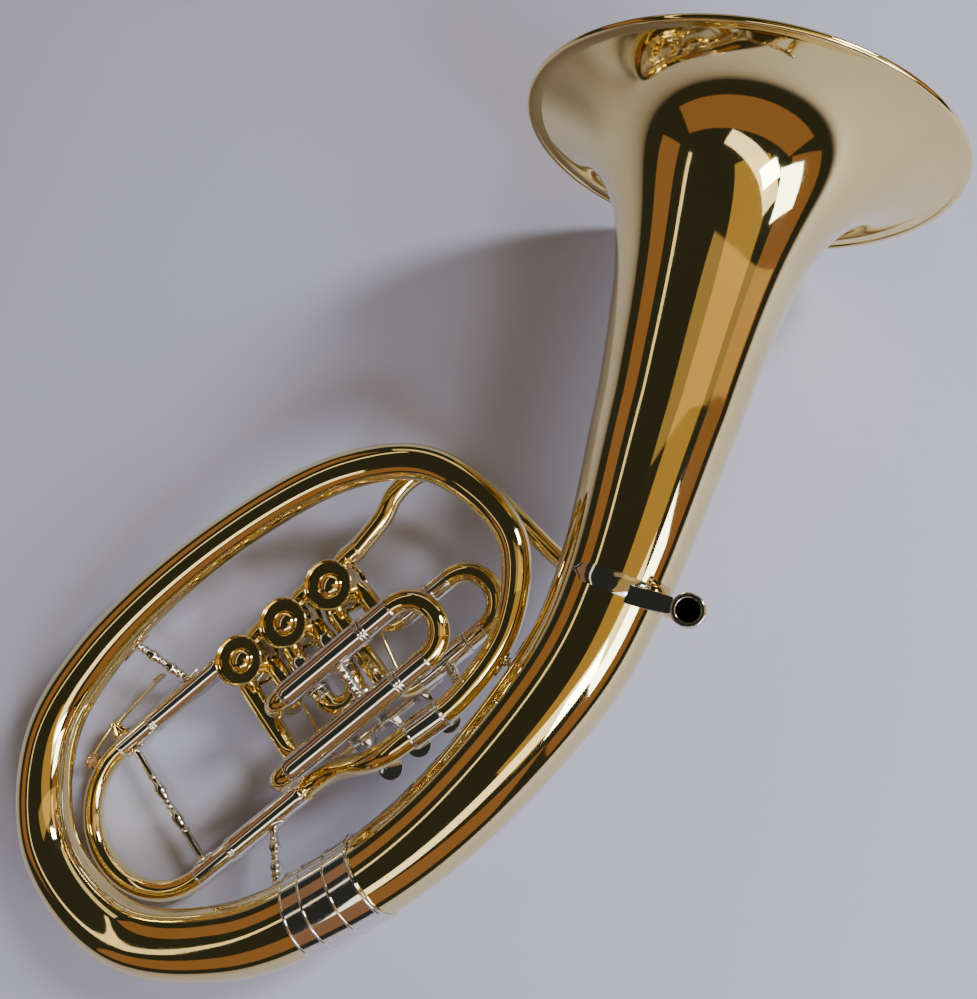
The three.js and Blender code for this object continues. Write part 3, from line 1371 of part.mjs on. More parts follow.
// The link joins the lever's crank to the stop arm; its slotted plate leaves the pin free to swing.
const pinSweep = (CRANK_RADIUS * (1 - Math.cos(ROTOR_TURN / 2))) / 2;
const pinMiddle = CRANK_RADIUS - pinSweep;
function link({ valve, crank }) {
  const axis = valveAxis(valve);
  const pinY = CRANK_RADIUS * Math.sin(ROTOR_TURN / 2);
  const plateZ = stopArmBottom - (CRANK_PIN_LENGTH - CRANK_PIN_HEAD) / 2;
  const plateAt = at(pinMiddle, pinY, plateZ).add(axis);
  const hinge = crankTip.clone().add(at(0, rodY, rodZ));
  const eyeX = crank + CRANK_STRAP_WIDTH / 2 + FIT + LINK_EYE_THICKNESS / 2;
  const half = LINK_EYE_THICKNESS / 2;
  const slotX = pinSweep + CRANK_PIN_RADIUS + FIT;
  const slotY = CRANK_PIN_RADIUS + FIT;
  const rimWidth = LINK_EYE_THICKNESS * 0.8;
  const plate = new THREE.BoxGeometry((slotX + rimWidth) * 2, (slotY + rimWidth) * 2, LINK_EYE_THICKNESS);
  plate.translate(plateAt.x, plateAt.y, plateAt.z);
  const slot = new THREE.BoxGeometry(slotX * 2, slotY * 2, LINK_EYE_THICKNESS * 2);
  slot.translate(plateAt.x, plateAt.y, plateAt.z);
  const wireStart = plateAt.clone().addScaledVector(Y_AXIS, -slotY - rimWidth / 2);
  const wireEnd = at(eyeX, hinge.y + (LINK_EYE_RADIUS + LINK_PIN_RADIUS) / 2 + FIT, hinge.z);
  const ease = at(0, LINK_EYE_RADIUS * 2, 0);
  const wireCurve = new THREE.CubicBezierCurve3(
    wireStart,
    wireStart.clone().addScaledVector(ease, -2),
    wireEnd.clone().addScaledVector(ease, 2),
    wireEnd,
  );
  const wireRings = [0, 1, 2, 3, 4, 5].map((k) =>
    ringAt(wireCurve.getPoint(k / 5), wireCurve.getTangent(k / 5), LINK_WIRE_RADIUS),
  );
  const wire = shell(wireRings, null, { sides: 6 });
  const eye = barrel(eyeX - half, eyeX + half, hinge.y, hinge.z, LINK_EYE_RADIUS, LINK_PIN_RADIUS, 10);
  const hole = rod(
    at(eyeX - half * 3, hinge.y, hinge.z),
    at(eyeX + half * 3, hinge.y, hinge.z),
    (LINK_PIN_RADIUS + FIT) / Math.cos(Math.PI / 10),
  );
  return cut(joined([plate, wire, eye]), [slot, hole]);
}

// A return spring round the barrel: four curls with a tail under the tubes and one on the strap.
function leverSpring({ pad }) {
  const endX = pad - LEVER_STRAP_WIDTH / 2 - SPRING_WIRE_RADIUS - FIT;
  const startX = endX - SPRING_CURLS * SPRING_PITCH;
  const steps = SPRING_CURLS * SPRING_STEPS;
  const climb = SPRING_PITCH / (2 * Math.PI * springRadius);
  const rings = [];
  const diameter = SPRING_WIRE_RADIUS * 2;
  for (let k = 0; k <= steps; k++) {
    const angle = Math.PI / 2 + (k / SPRING_STEPS) * 2 * Math.PI;
    const place = at(
      startX + (k / SPRING_STEPS) * SPRING_PITCH,
      rodY + springRadius * Math.cos(angle),
      rodZ + springRadius * Math.sin(angle),
    );
    const along = at(climb, -Math.sin(angle), Math.cos(angle)).normalize();
    rings.push(ringAt(place, along, SPRING_WIRE_RADIUS));
  }
  const first = rings[0];
  const last = rings.at(-1);
  const tailEnd = first.at.clone().addScaledVector(first.along, -SPRING_TAIL);
  const straight = last.at.clone().addScaledVector(last.along, diameter);
  const strapWay = at(0, -LEVER_PAD_FROM_ROW, rodZ - LEVER_PAD_DROP).sub(at(0, rodY, rodZ + strapLift)).normalize();
  const rest = straight.clone().addScaledVector(strapWay, SPRING_TAIL).setX(pad);
  const restWay = rest.clone().sub(straight).normalize();
  return shell(
    [
      ringAt(tailEnd, first.along, SPRING_WIRE_RADIUS),
      ...rings,
      ringAt(straight, last.along.clone().add(restWay).normalize(), SPRING_WIRE_RADIUS),
      ringAt(rest, restWay, SPRING_WIRE_RADIUS),
    ],
    null,
    { sides: SPRING_SIDES, up: Z_AXIS },
  );
}

for (const row of LEVERS) {
  addPart(valveSection, `lever_${row.valve}`, lever(row), NICKEL_SILVER);
  addPart(valveSection, `link_${row.valve}`, link(row), LACQUERED_BRASS);
  addPart(valveSection, `lever_spring_${row.valve}`, leverSpring(row), STEEL);
}

// Water key on the tuning crook: saddle with two lugs and pin, and the key itself

const keyHinge = at(-KEY_HINGE_ALONG, upperY + TUBE_RADIUS + KEY_HINGE_CLEAR, portZ);
const lugZ = KEY_WIDTH / 2 + FIT;
const keyTube = [-1, 1].map((side) =>
  ringAt(
    at(keyHinge.x + side * SMALL_FOOT_LENGTH, upperY, portZ),
    X_AXIS,
    TUBE_RADIUS + SLEEVE_RING,
  ),
);
const lugRoot = upperY + TUBE_RADIUS + SLEEVE_RING + FIT + FOOT_FOIL / 2;
const lugs = [-1, 1].map((side) => {
  const z = portZ + side * (lugZ + KEY_LUG / 2);
  const lug = new THREE.BoxGeometry(KEY_THICKNESS, keyHinge.y + KEY_THICKNESS / 2 - lugRoot, KEY_LUG);
  lug.translate(keyHinge.x, (keyHinge.y + KEY_THICKNESS / 2 + lugRoot) / 2, z);
  return lug;
});
const pinHalf = at(0, 0, lugZ + KEY_LUG / 2);
addPart(
  valveSection,
  "water_key_saddle",
  cut(joined([
    foot(keyTube, at(keyHinge.x, upperY, portZ), X_AXIS, Y_AXIS, SMALL_FOOT_LENGTH, FOOT_WIDTH),
    ...lugs,
    rod(keyHinge.clone().sub(pinHalf), keyHinge.clone().add(pinHalf), KEY_PIN_RADIUS, 8),
  ]), [room(keyTube)]),
  LACQUERED_BRASS,
);
const padFoot = nippleTop.clone().addScaledVector(padWay, FIT);
const padTop = padFoot.clone().addScaledVector(padWay, KEY_PAD_DEPTH);
const fingerEnd = at(keyHinge.x + KEY_FINGER_REACH, upperY + TUBE_RADIUS + KEY_FINGER_CLEAR, portZ);
const keyTurn = rod(
  keyHinge.clone().setZ(portZ - KEY_WIDTH / 2),
  keyHinge.clone().setZ(portZ + KEY_WIDTH / 2),
  KEY_PIN_RADIUS + KEY_THICKNESS / 2 + FIT,
  10,
);
const keyHole = rod(
  keyHinge.clone().setZ(portZ - KEY_WIDTH),
  keyHinge.clone().setZ(portZ + KEY_WIDTH),
  (KEY_PIN_RADIUS + FIT) / Math.cos(Math.PI / 8),
  8,
);
addPart(
  valveSection,
  "water_key",
  cut(
    joined([
      keyTurn,
      bar(keyHinge, fingerEnd, Z_AXIS, KEY_WIDTH, KEY_THICKNESS / 2),
      rod(fingerEnd.clone().addScaledVector(Y_AXIS, -KEY_THICKNESS / 4), fingerEnd.clone().addScaledVector(Y_AXIS, KEY_THICKNESS / 4), KEY_PAD_RADIUS * 0.8, 12),
      bar(keyHinge, padTop.clone().addScaledVector(padWay, -KEY_THICKNESS / 4), Z_AXIS, KEY_WIDTH, KEY_THICKNESS / 2),
      rod(padFoot, padTop, KEY_PAD_RADIUS, 12),
    ]),
    [keyHole],
  ),
  LACQUERED_BRASS,
);

// At rest the horn leans on its bell rim, its third lever and its tuning crook; the frame's origin is
// in the middle of its footprint.
const row = new THREE.Group();
horn.rotation.set(REST_LEAN_X, REST_LEAN_Y, 0);
row.add(horn);
const extent = new THREE.Box3().setFromObject(row, true);
const middle = extent.getCenter(at(0, 0));
horn.position.set(-middle.x, -middle.y, -extent.min.z);

export default row;
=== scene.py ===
# %% [markdown]
# # An oval alto horn with three rotary valves
#
# The horn lies on a pale floor with its levers underneath. This lesson dresses it in the metal that
# the real one is made of: lacquered yellow brass for the tubes, the bell and the valve casings, nickel
# silver for what slides, clamps or holds and for the levers, and steel for the rod, the springs and
# whatever turns with a rotor.
#
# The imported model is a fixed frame. It says where every piece sits and what it rides on, so all that
# is left to do here is to make each piece round, thin and polished.

import math

import bmesh
import bpy
from mathutils import Matrix, Vector


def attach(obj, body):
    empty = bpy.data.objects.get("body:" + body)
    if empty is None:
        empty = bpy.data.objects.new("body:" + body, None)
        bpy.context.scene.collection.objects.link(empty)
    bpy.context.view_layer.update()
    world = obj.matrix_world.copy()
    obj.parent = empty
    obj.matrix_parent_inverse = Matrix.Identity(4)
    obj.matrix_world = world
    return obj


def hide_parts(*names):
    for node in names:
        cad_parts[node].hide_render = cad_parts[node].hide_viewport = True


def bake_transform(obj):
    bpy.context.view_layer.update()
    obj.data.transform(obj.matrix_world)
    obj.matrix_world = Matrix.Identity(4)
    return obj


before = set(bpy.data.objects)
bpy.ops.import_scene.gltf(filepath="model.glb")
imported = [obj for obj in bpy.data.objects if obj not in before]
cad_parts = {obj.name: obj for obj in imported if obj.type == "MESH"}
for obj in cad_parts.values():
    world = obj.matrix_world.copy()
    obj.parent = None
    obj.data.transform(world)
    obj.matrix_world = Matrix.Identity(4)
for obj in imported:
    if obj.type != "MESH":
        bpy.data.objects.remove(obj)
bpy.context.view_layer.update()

# %% [markdown]
# ## Two drawing boards
#
# A maker draws the oval of the body on one board and the valve section on another, because the valve
# row stands at an angle inside the oval. Here a board is a matrix that takes a point in millimetres
# to its place in the scene in metres. The horn leans a little as it lies on its bell rim, so that the
# body's board is tilted about two axes. Putting the tilt in one matrix keeps every other number plain.

# %% The boards for the body and for the valves
MM = 0.001
BODY_LENGTH = 532  # from the bell rim to the foot of the bow
LEAN_X = math.radians(6.318)
LEAN_Y = math.radians(-7.64)
HORN_ORIGIN = Vector((99.7556, 256.0111, 118.3315))
ROW_ANGLE = math.radians(54.15)
ROW_ORIGIN = Vector((-0.35 * BODY_LENGTH, -0.604 * BODY_LENGTH, 0))

lean = Matrix.Rotation(LEAN_X, 4, "X") @ Matrix.Rotation(LEAN_Y, 4, "Y")
body_board = Matrix.Scale(MM, 4) @ Matrix.Translation(HORN_ORIGIN) @ lean
row_on_body = Matrix.Translation(ROW_ORIGIN) @ Matrix.Rotation(ROW_ANGLE, 4, "Z")
valve_board = body_board @ row_on_body
body_to_row = row_on_body.inverted()
print("valve row starts at", [round(v, 3) for v in valve_board.translation])

# %% [markdown]
# ## Lacquered brass
#
# Polished brass mirrors the room, and its own colour only tints what it mirrors. What makes it look
# real is small: the tone wanders a little where the lacquer is thicker, wiping has left hair-fine
# marks, and the surface is never perfectly even, so that a reflected edge wavers. A noise texture
# could drive all of it, but one noise looks like fog. Three scales are used here: a broad one for the
# colour, a middle one for the gloss and a long fine one for the wiping marks. Nickel silver and steel
# come from the same helper, paler or duller and without the lacquer.

# %% A helper for polished metal
def metal_finish(name, pale, deep, gloss, haze, wave, coat):
    """Metal that mirrors its surroundings, with wandering tone, wiping marks and a slight wave."""
    finish = bpy.data.materials.new(name)
    finish.use_nodes = True
    nodes, links = finish.node_tree.nodes, finish.node_tree.links
    metal = nodes["Principled BSDF"]
    metal.inputs["Metallic"].default_value = 1.0
    metal.inputs["Coat Weight"].default_value = coat
    metal.inputs["Coat Roughness"].default_value = 0.03
    metal.inputs["Coat IOR"].default_value = 1.5
    spot = nodes.new("ShaderNodeTexCoord")

    def noise(scale, detail, stretch=(1, 1, 1)):
        mapping = nodes.new("ShaderNodeMapping")
        mapping.inputs["Scale"].default_value = stretch
        links.new(spot.outputs["Object"], mapping.inputs["Vector"])
        grain = nodes.new("ShaderNodeTexNoise")
        grain.inputs["Scale"].default_value = scale
        grain.inputs["Detail"].default_value = detail
        links.new(mapping.outputs["Vector"], grain.inputs["Vector"])
        return grain

    broad = noise(14, 3)
    tone = nodes.new("ShaderNodeValToRGB")
    tone.color_ramp.elements[0].position = 0.35
    tone.color_ramp.elements[0].color = (*deep, 1)
    tone.color_ramp.elements[1].position = 0.65
    tone.color_ramp.elements[1].color = (*pale, 1)
    links.new(broad.outputs["Fac"], tone.inputs["Fac"])
    links.new(tone.outputs["Color"], metal.inputs["Base Color"])

    wiping = noise(420, 2, (1, 0.12, 1))
    cloud = noise(55, 4)
    both = nodes.new("ShaderNodeMath")
    both.operation = "MULTIPLY"
    links.new(wiping.outputs["Fac"], both.inputs[0])
    links.new(cloud.outputs["Fac"], both.inputs[1])
    rough = nodes.new("ShaderNodeMapRange")
    rough.inputs["From Min"].default_value = 0.1
    rough.inputs["From Max"].default_value = 0.45
    rough.inputs["To Min"].default_value = gloss
    rough.inputs["To Max"].default_value = gloss + haze
    links.new(both.outputs["Value"], rough.inputs["Value"])
    links.new(rough.outputs["Result"], metal.inputs["Roughness"])

    swell = noise(38, 2)
    dent = nodes.new("ShaderNodeBump")
    dent.inputs["Strength"].default_value = wave
    dent.inputs["Distance"].default_value = 0.0004
    links.new(swell.outputs["Fac"], dent.inputs["Height"])
    hair = nodes.new("ShaderNodeBump")
    hair.inputs["Strength"].default_value = wave * 0.5
    hair.inputs["Distance"].default_value = 0.00002
    links.new(wiping.outputs["Fac"], hair.inputs["Height"])
    links.new(dent.outputs["Normal"], hair.inputs["Normal"])
    links.new(hair.outputs["Normal"], metal.inputs["Normal"])
    return finish


# %% The three metals of the horn
FINISHES = {
    "lacquered_brass": metal_finish(
        "lacquered_brass_polished", pale=(0.90, 0.73, 0.33), deep=(0.84, 0.66, 0.27),
        gloss=0.02, haze=0.06, wave=0.05, coat=0.5,
    ),
    "nickel_silver": metal_finish(
        "nickel_silver_polished", pale=(0.82, 0.78, 0.72), deep=(0.75, 0.70, 0.64),
        gloss=0.035, haze=0.08, wave=0.06, coat=0.0,
    ),
    "steel": metal_finish(
        "steel_oiled", pale=(0.56, 0.56, 0.57), deep=(0.42, 0.42, 0.43),
        gloss=0.16, haze=0.16, wave=0.3, coat=0.0,
    ),
}
print("metals:", ", ".join(FINISHES))

# %% [markdown]
# ## Cork
#
# The rotor's stop arm lands on two small corks, and the water key seals with one. Cork is a mass of
# little cells with dark cracks between some of them, so it takes a cell pattern for the grain and a
# noise that darkens whole patches. The same cells press into the surface as shallow pits.

# %% Cork for bumpers and the pad
def cork_finish(name):
    """Cork with dark cracks between its cells, darker patches and shallow pits."""
    finish = bpy.data.materials.new(name)
    finish.use_nodes = True
    nodes, links = finish.node_tree.nodes, finish.node_tree.links
    body = nodes["Principled BSDF"]
    body.inputs["Roughness"].default_value = 0.82
    spot = nodes.new("ShaderNodeTexCoord")
    cells = nodes.new("ShaderNodeTexVoronoi")
    cells.inputs["Scale"].default_value = 1400
    links.new(spot.outputs["Object"], cells.inputs["Vector"])
    patches = nodes.new("ShaderNodeTexNoise")
    patches.inputs["Scale"].default_value = 500
    patches.inputs["Detail"].default_value = 5
    links.new(spot.outputs["Object"], patches.inputs["Vector"])
    grain = nodes.new("ShaderNodeMath")
    grain.operation = "MULTIPLY"
    links.new(cells.outputs["Distance"], grain.inputs[0])
    links.new(patches.outputs["Fac"], grain.inputs[1])
    tone = nodes.new("ShaderNodeValToRGB")
    tone.color_ramp.elements[0].position = 0.05
    tone.color_ramp.elements[0].color = (0.50, 0.29, 0.14, 1)
    tone.color_ramp.elements[1].position = 0.4
    tone.color_ramp.elements[1].color = (0.20, 0.09, 0.04, 1)
    links.new(grain.outputs["Value"], tone.inputs["Fac"])
    links.new(tone.outputs["Color"], body.inputs["Base Color"])
    pits = nodes.new("ShaderNodeBump")
    pits.inputs["Strength"].default_value = 0.6
    pits.inputs["Distance"].default_value = 0.0002
    links.new(grain.outputs["Value"], pits.inputs["Height"])
    links.new(pits.outputs["Normal"], body.inputs["Normal"])
    return finish


FINISHES["cork"] = cork_finish("cork_cut")
print("cork for the bumpers")

# %% [markdown]
# ## Centre lines
#
# Every tube of a horn is a round section that travels along a line. Blender's curve objects can do
# that with a bevel, but a bevelled curve can't change its wall, carry rings at exact lengths or share
# one line between a tube and the ferrule that clamps it. A centre line that can be asked for the
# point and the direction at any length does all three, and stays useful for straight turned pieces.
# Two tubes that point different ways are joined by a line that swings from one to the other.

# %% A centre line that knows its own length
class CentreLine:
    """A row of close points, with the direction of travel and a frame carried along without twist."""

    def __init__(self, points, up=Vector((0, 0, 1))):
        self.points = points
        self.lengths = [0.0]
        for before, after in zip(points, points[1:]):
            self.lengths.append(self.lengths[-1] + (after - before).length)
        last = len(points) - 1
        self.ways = [
            (points[min(k + 1, last)] - points[max(k - 1, 0)]).normalized() for k in range(last + 1)
        ]
        first = self.ways[0]
        if abs(first.dot(up)) > 0.9:
            up = Vector((1, 0, 0))
        self.ups = []
        for way in self.ways:
            up = (up - way * up.dot(way)).normalized()
            self.ups.append(up)

    @property
    def length(self):
        return self.lengths[-1]

    def at(self, length):
        """Point, direction and up at a length; beyond an end it runs straight on."""
        low, high = 0, len(self.points) - 2
        while low < high:
            middle = (low + high + 1) // 2
            if self.lengths[middle] <= length:
                low = middle
            else:
                high = middle - 1
        gap = self.lengths[low + 1] - self.lengths[low]
        share = (length - self.lengths[low]) / gap
        point = self.points[low].lerp(self.points[low + 1], share)
        held = min(max(share, 0), 1)
        way = self.ways[low].lerp(self.ways[low + 1], held).normalized()
        up = self.ups[low].lerp(self.ups[low + 1], held)
        return point, way, (up - way * up.dot(way)).normalized()


def straight(start, end):
    return CentreLine([Vector(start), Vector(end)])


def swung(start, start_pull, end_pull, end, steps):
    """Points from start to end that leave and arrive in the directions of the two pulls."""
    points = []
    for k in range(steps + 1):
        t = k / steps
        points.append(
            start * (1 - t) ** 3 + start_pull * 3 * t * (1 - t) ** 2
            + end_pull * 3 * t * t * (1 - t) + end * t**3
        )
    return points


print("a straight line of", straight((0, 0, 0), (10, 0, 0)).length, "mm")

# %% [markdown]
# A bent tube is straight runs joined by round bends, the way it leaves the bending bench. The helper
# takes the corners and the bend radius at each, and puts a point every few degrees on the arcs.

# %% Straight runs with round bends
ARC_STEP = math.radians(5)
LEAST_GAP = 0.05


def bent(corners, bends):
    """A centre line round the corners; bends is one radius for all of them or a list."""
    corners = [Vector(corner) for corner in corners]
    if not isinstance(bends, (list, tuple)):
        bends = [bends] * (len(corners) - 2)
    points = [corners[0]]
    for before, corner, after, bend in zip(corners, corners[1:], corners[2:], bends):
        come = (corner - before).normalized()
        go = (after - corner).normalized()
        turn = come.angle(go)
        axis = come.cross(go).normalized()
        start = corner - come * bend * math.tan(turn / 2)
        centre = start + axis.cross(come) * bend
        steps = max(2, math.ceil(turn / ARC_STEP))
        for k in range(steps + 1):
            spin = Matrix.Rotation(turn * k / steps, 3, axis)
            point = centre + spin @ (start - centre)
            if (point - points[-1]).length > LEAST_GAP:
                points.append(point)
    if (corners[-1] - points[-1]).length > LEAST_GAP:
        points.append(corners[-1])
    return CentreLine(points)


# %% A smooth line through places, with a radius carried along
def smooth_line(places, per_gap=24):
    """Centripetal curve through places of (x, y, z, radius); gives the close points and radii."""
    places = [Vector(place) for place in places]
    ends = [places[0] * 2 - places[1], places[-1] * 2 - places[-2]]
    run = [ends[0], *places, ends[1]]
    rows = []
    for p0, p1, p2, p3 in zip(run, run[1:], run[2:], run[3:]):
        d0, d1, d2 = [math.sqrt((b.xyz - a.xyz).length) for a, b in ((p0, p1), (p1, p2), (p2, p3))]
        leave = ((p1 - p0) / d0 - (p2 - p0) / (d0 + d1) + (p2 - p1) / d1) * d1
        arrive = ((p2 - p1) / d1 - (p3 - p1) / (d1 + d2) + (p3 - p2) / d2) * d1
        for k in range(per_gap):
            t = k / per_gap
            rows.append(
                p1
                + leave * t
                + (p1 * -3 + p2 * 3 - leave * 2 - arrive) * t * t
                + (p1 * 2 - p2 * 2 + leave + arrive) * t * t * t
            )
    rows.append(places[-1])
    return [row.xyz for row in rows], [row.w for row in rows]


# %% [markdown]
# ## Turning along a line
#
# A lathe profile is a list of places along the work with the radius at each. If the work itself is
# bent, the same profile still describes it. This helper walks a profile along a centre line and puts
# a ring of points at each place. A profile that comes back to its start makes a tube with a wall.

# %% The lathe for straight and bent work
RING_STEP = 3.0


def turn_along(line, profile, sides, hollow=True, step=RING_STEP):
    """A bmesh in board millimetres: profile is (length, radius) pairs; a hollow one closes on itself."""
    work = bmesh.new()
    route = [*profile, profile[0]] if hollow else profile
    places = []
    for (from_length, from_radius), (to_length, to_radius) in zip(route, route[1:]):
        pieces = max(1, math.ceil(abs(to_length - from_length) / step))
        for k in range(pieces):
            share = k / pieces
            places.append(
                (
                    from_length + (to_length - from_length) * share,
                    from_radius + (to_radius - from_radius) * share,
                )
            )
    if not hollow:
        places.append(profile[-1])
    rings = []
    for length, radius in places:
        point, way, up = line.at(length)
        side = way.cross(up)
        if radius < 1e-6:
            rings.append([work.verts.new(point)])
            continue
        ring = []
        for k in range(sides):
            angle = 2 * math.pi * k / sides
            spoke = up * math.cos(angle) + side * math.sin(angle)
            ring.append(work.verts.new(point + spoke * radius))
        rings.append(ring)
    pairs = list(zip(rings, rings[1:]))
    if hollow:
        pairs.append((rings[-1], rings[0]))
    for ring, after in pairs:
        for k in range(sides):
            n = (k + 1) % sides
            if len(ring) == 1 and len(after) == 1:
                break
            if len(ring) == 1:
                work.faces.new((ring[0], after[n], after[k]))
            elif len(after) == 1:
                work.faces.new((ring[k], ring[n], after[0]))
            else:
                work.faces.new((ring[k], ring[n], after[n], after[k]))
    return work


# %% Putting a finished piece on its body
SHARP_EDGE = math.radians(40)
pieces_made = []


def put_in_scene(name, data):
    """An object with its mesh, light or camera data, linked to the scene."""
    thing = bpy.data.objects.new(name, data)
    bpy.context.scene.collection.objects.link(thing)
    return thing


def smooth_piece(name, work, metal):
    """Turns a bmesh that is already in its place into a smooth object with its metal."""
    mesh = bpy.data.meshes.new(name)
    work.to_mesh(mesh)
    work.free()
    mesh.polygons.foreach_set("use_smooth", [True] * len(mesh.polygons))
    mesh.materials.append(FINISHES[metal])
    pieces_made.append(name)
    return put_in_scene(name, mesh)


def add_piece(name, work, board, body, metal, *nodes):
    """Puts a bmesh on its board and body, with its metal, in place of the named solids."""
    work.transform(board)
    bmesh.ops.recalc_face_normals(work, faces=work.faces)
    piece = smooth_piece(name, work, metal)
    piece.data.set_sharp_from_angle(angle=SHARP_EDGE)
    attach(piece, body)
    if nodes:
        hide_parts(*nodes)


def together(*works):
    """Joins several bmeshes into a new one and frees them."""
    whole = bmesh.new()
    for work in works:
        shifted = {}
        for vert in work.verts:
            shifted[vert] = whole.verts.new(vert.co)
        for face in work.faces:
            whole.faces.new([shifted[vert] for vert in face.verts])
        work.free()
    return whole


# %% [markdown]
# ## The main tube
#
# The body starts as a pipe no thicker than a finger beside the valves, runs once round the oval and
# ends as the bell. Its places were read along the outline of the horn and are kept as shares of the
# body's length. The radius grows all the way, slowly at first. A horn maker draws such a tube over a
# steel mandrel and bends it full of pitch; here one smooth line carries both the place and the radius.

# %% The oval's line and radius
BOW_RADIUS = 22.4
STEM_LENGTH = 150
BELL_RADIUS = 120
RIM_BEAD = 1.7
CONE_RADIUS = 52  # the slow cone alone, at the rim
CONE_TAPER = 0.0845
FLARE_DEPTH = 23
FLARE_POWER = 0.87
# places across and along the body as shares of its length, and the radius as a share of the bow's
body_shares = [
    (-0.177, -0.683, 0.31),
    (-0.128, -0.617, 0.325),
    (-0.102, -0.536, 0.345),
    (-0.124, -0.447, 0.393),
    (-0.224, -0.397, 0.455),
    (-0.32, -0.425, 0.5),
    (-0.446, -0.54, 0.558),
    (-0.549, -0.697, 0.634),
    (-0.575, -0.805, 0.679),
    (-0.534, -0.912, 0.701),
    (-0.423, -0.966, 0.786),
    (-0.297, -0.93, 0.906),
    (-0.199, -0.85, 1),
    (-0.113, -0.741, 1.103),
    (-0.03, -0.57, 1.263),
    (-0.009, -0.47, 1.384),
]


def stem_radius(back):
    """Radius of the bell at a distance behind the rim: a slow cone and a fast flare added up."""
    fade = math.exp(-((max(back, 0) / FLARE_DEPTH) ** FLARE_POWER))
    return CONE_RADIUS - CONE_TAPER * back + (BELL_RADIUS - RIM_BEAD - CONE_RADIUS) * fade


places = [(x * BODY_LENGTH, y * BODY_LENGTH, 0, r * BOW_RADIUS) for x, y, r in body_shares]
places.append((0, -STEM_LENGTH, 0, stem_radius(STEM_LENGTH)))
oval_points, oval_radii = smooth_line(places)
body_line = CentreLine([*oval_points, Vector((0, -STEM_LENGTH / 2, 0)), Vector((0, 0, 0))])
oval_length = body_line.lengths[len(oval_points) - 1]
rim_length = oval_length + STEM_LENGTH


def body_radius(length):
    """Radius of the outer surface at a length, from the small end through the oval to the rim."""
    if length >= oval_length:
        return stem_radius(rim_length - length)
    k = next(i for i, mark in enumerate(body_line.lengths) if mark > length) - 1
    share = (length - body_line.lengths[k]) / (body_line.lengths[k + 1] - body_line.lengths[k])
    return oval_radii[k] + (oval_radii[k + 1] - oval_radii[k]) * share


print(f"main tube: {rim_length:.0f} mm, from {body_radius(0):.1f} to {BELL_RADIUS} mm radius")

# %% The drawn tube from the small ferrule to the bow
FIT = 0.3  # between pieces that slide or turn in each other
SHEET = 0.9  # the wall of the body and the bell
BOW_JOINT = 780
BRANCH_JOINT = 18


def on_body(start, end, proud=0.0, step=4.0):
    """Profile places on the body tube's surface between two lengths."""
    count = max(1, math.ceil(abs(end - start) / step))
    lengths = [start + (end - start) * k / count for k in range(count + 1)]
    return [(length, body_radius(length) + proud) for length in lengths]


tube_from, tube_to = BRANCH_JOINT + FIT / 2, BOW_JOINT - FIT / 2
body_tube = turn_along(
    body_line,
    [*on_body(tube_from, tube_to), *on_body(tube_to, tube_from, -SHEET)],
    72,
)
add_piece("body_tube_drawn", body_tube, body_board, "horn_frame", "lacquered_brass", "body_tube")
print("body tube runs", round(tube_to - tube_from), "mm")

# %% [markdown]
# ## The bell
#
# The bell is spun from sheet over a wooden form. Its stem is almost a cone, and within a hand's width
# of the rim it opens to more than twice the size. The edge is rolled outwards round a wire, which
# makes the bead that catches the light. Near the rim the places lie closer together, because there
# the outline turns fastest, and too few rings would show as flats in the reflections.

# %% The bell, from the bow to the rolled rim
def bell_back_steps(closer=0.93, nearest=1.6):
    """Distances behind the rim, each a little closer than the one before."""
    backs, back = [], STEM_LENGTH
    while back > nearest:
        backs.append(back)
        back *= closer
    return backs


def bell_wall(back, inset, step=0.05):
    """A profile place at a distance behind the rim, moved inwards square to the surface."""
    slope = (stem_radius(back - step) - stem_radius(back + step)) / (2 * step)
    lean_out = math.hypot(1, slope)
    return rim_length - back + inset * slope / lean_out, stem_radius(back) - inset / lean_out


backs = bell_back_steps()
bell_from, cone_from = BOW_JOINT + FIT / 2, oval_length - 2
bell_profile = on_body(bell_from, cone_from)
bell_profile += [bell_wall(back, 0) for back in backs]
for degrees in range(-165, 121, 15):
    angle = math.radians(degrees)
    bell_profile.append(
        (
            rim_length - RIM_BEAD + RIM_BEAD * math.sin(angle),
            BELL_RADIUS - RIM_BEAD + RIM_BEAD * math.cos(angle),
        )
    )
bell_profile += [bell_wall(back, SHEET) for back in reversed(backs)]
bell_profile += on_body(cone_from, bell_from, -SHEET)
bell = turn_along(body_line, bell_profile, 128)
add_piece("bell_spun", bell, body_board, "horn_frame", "lacquered_brass", "bell")
print("bell rings:", len(bell_profile), "places, rim", 2 * BELL_RADIUS, "mm across")

# %% [markdown]
# ## Ferrules
#
# Where two tubes meet, a short sleeve of nickel silver covers the joint. Thin turned rings mark its
# ends, and the large one at the bow has two more between them. A ring is a half-round bead on the
# profile, and the ferrule follows the same line and radius as the tube, so the two never part.

# %% Rings and ferrules on the body
def bead(middle, width, height, radius_at):
    """A half-round ring on a profile, from one side to the other."""
    rows = []
    for k in range(9):
        angle = math.pi * k / 8
        length = middle - width / 2 * math.cos(angle)
        rows.append((length, radius_at(length) + height * math.sin(angle)))
    return rows


def even(radius):
    """A radius that is the same at every length."""
    return lambda length: radius


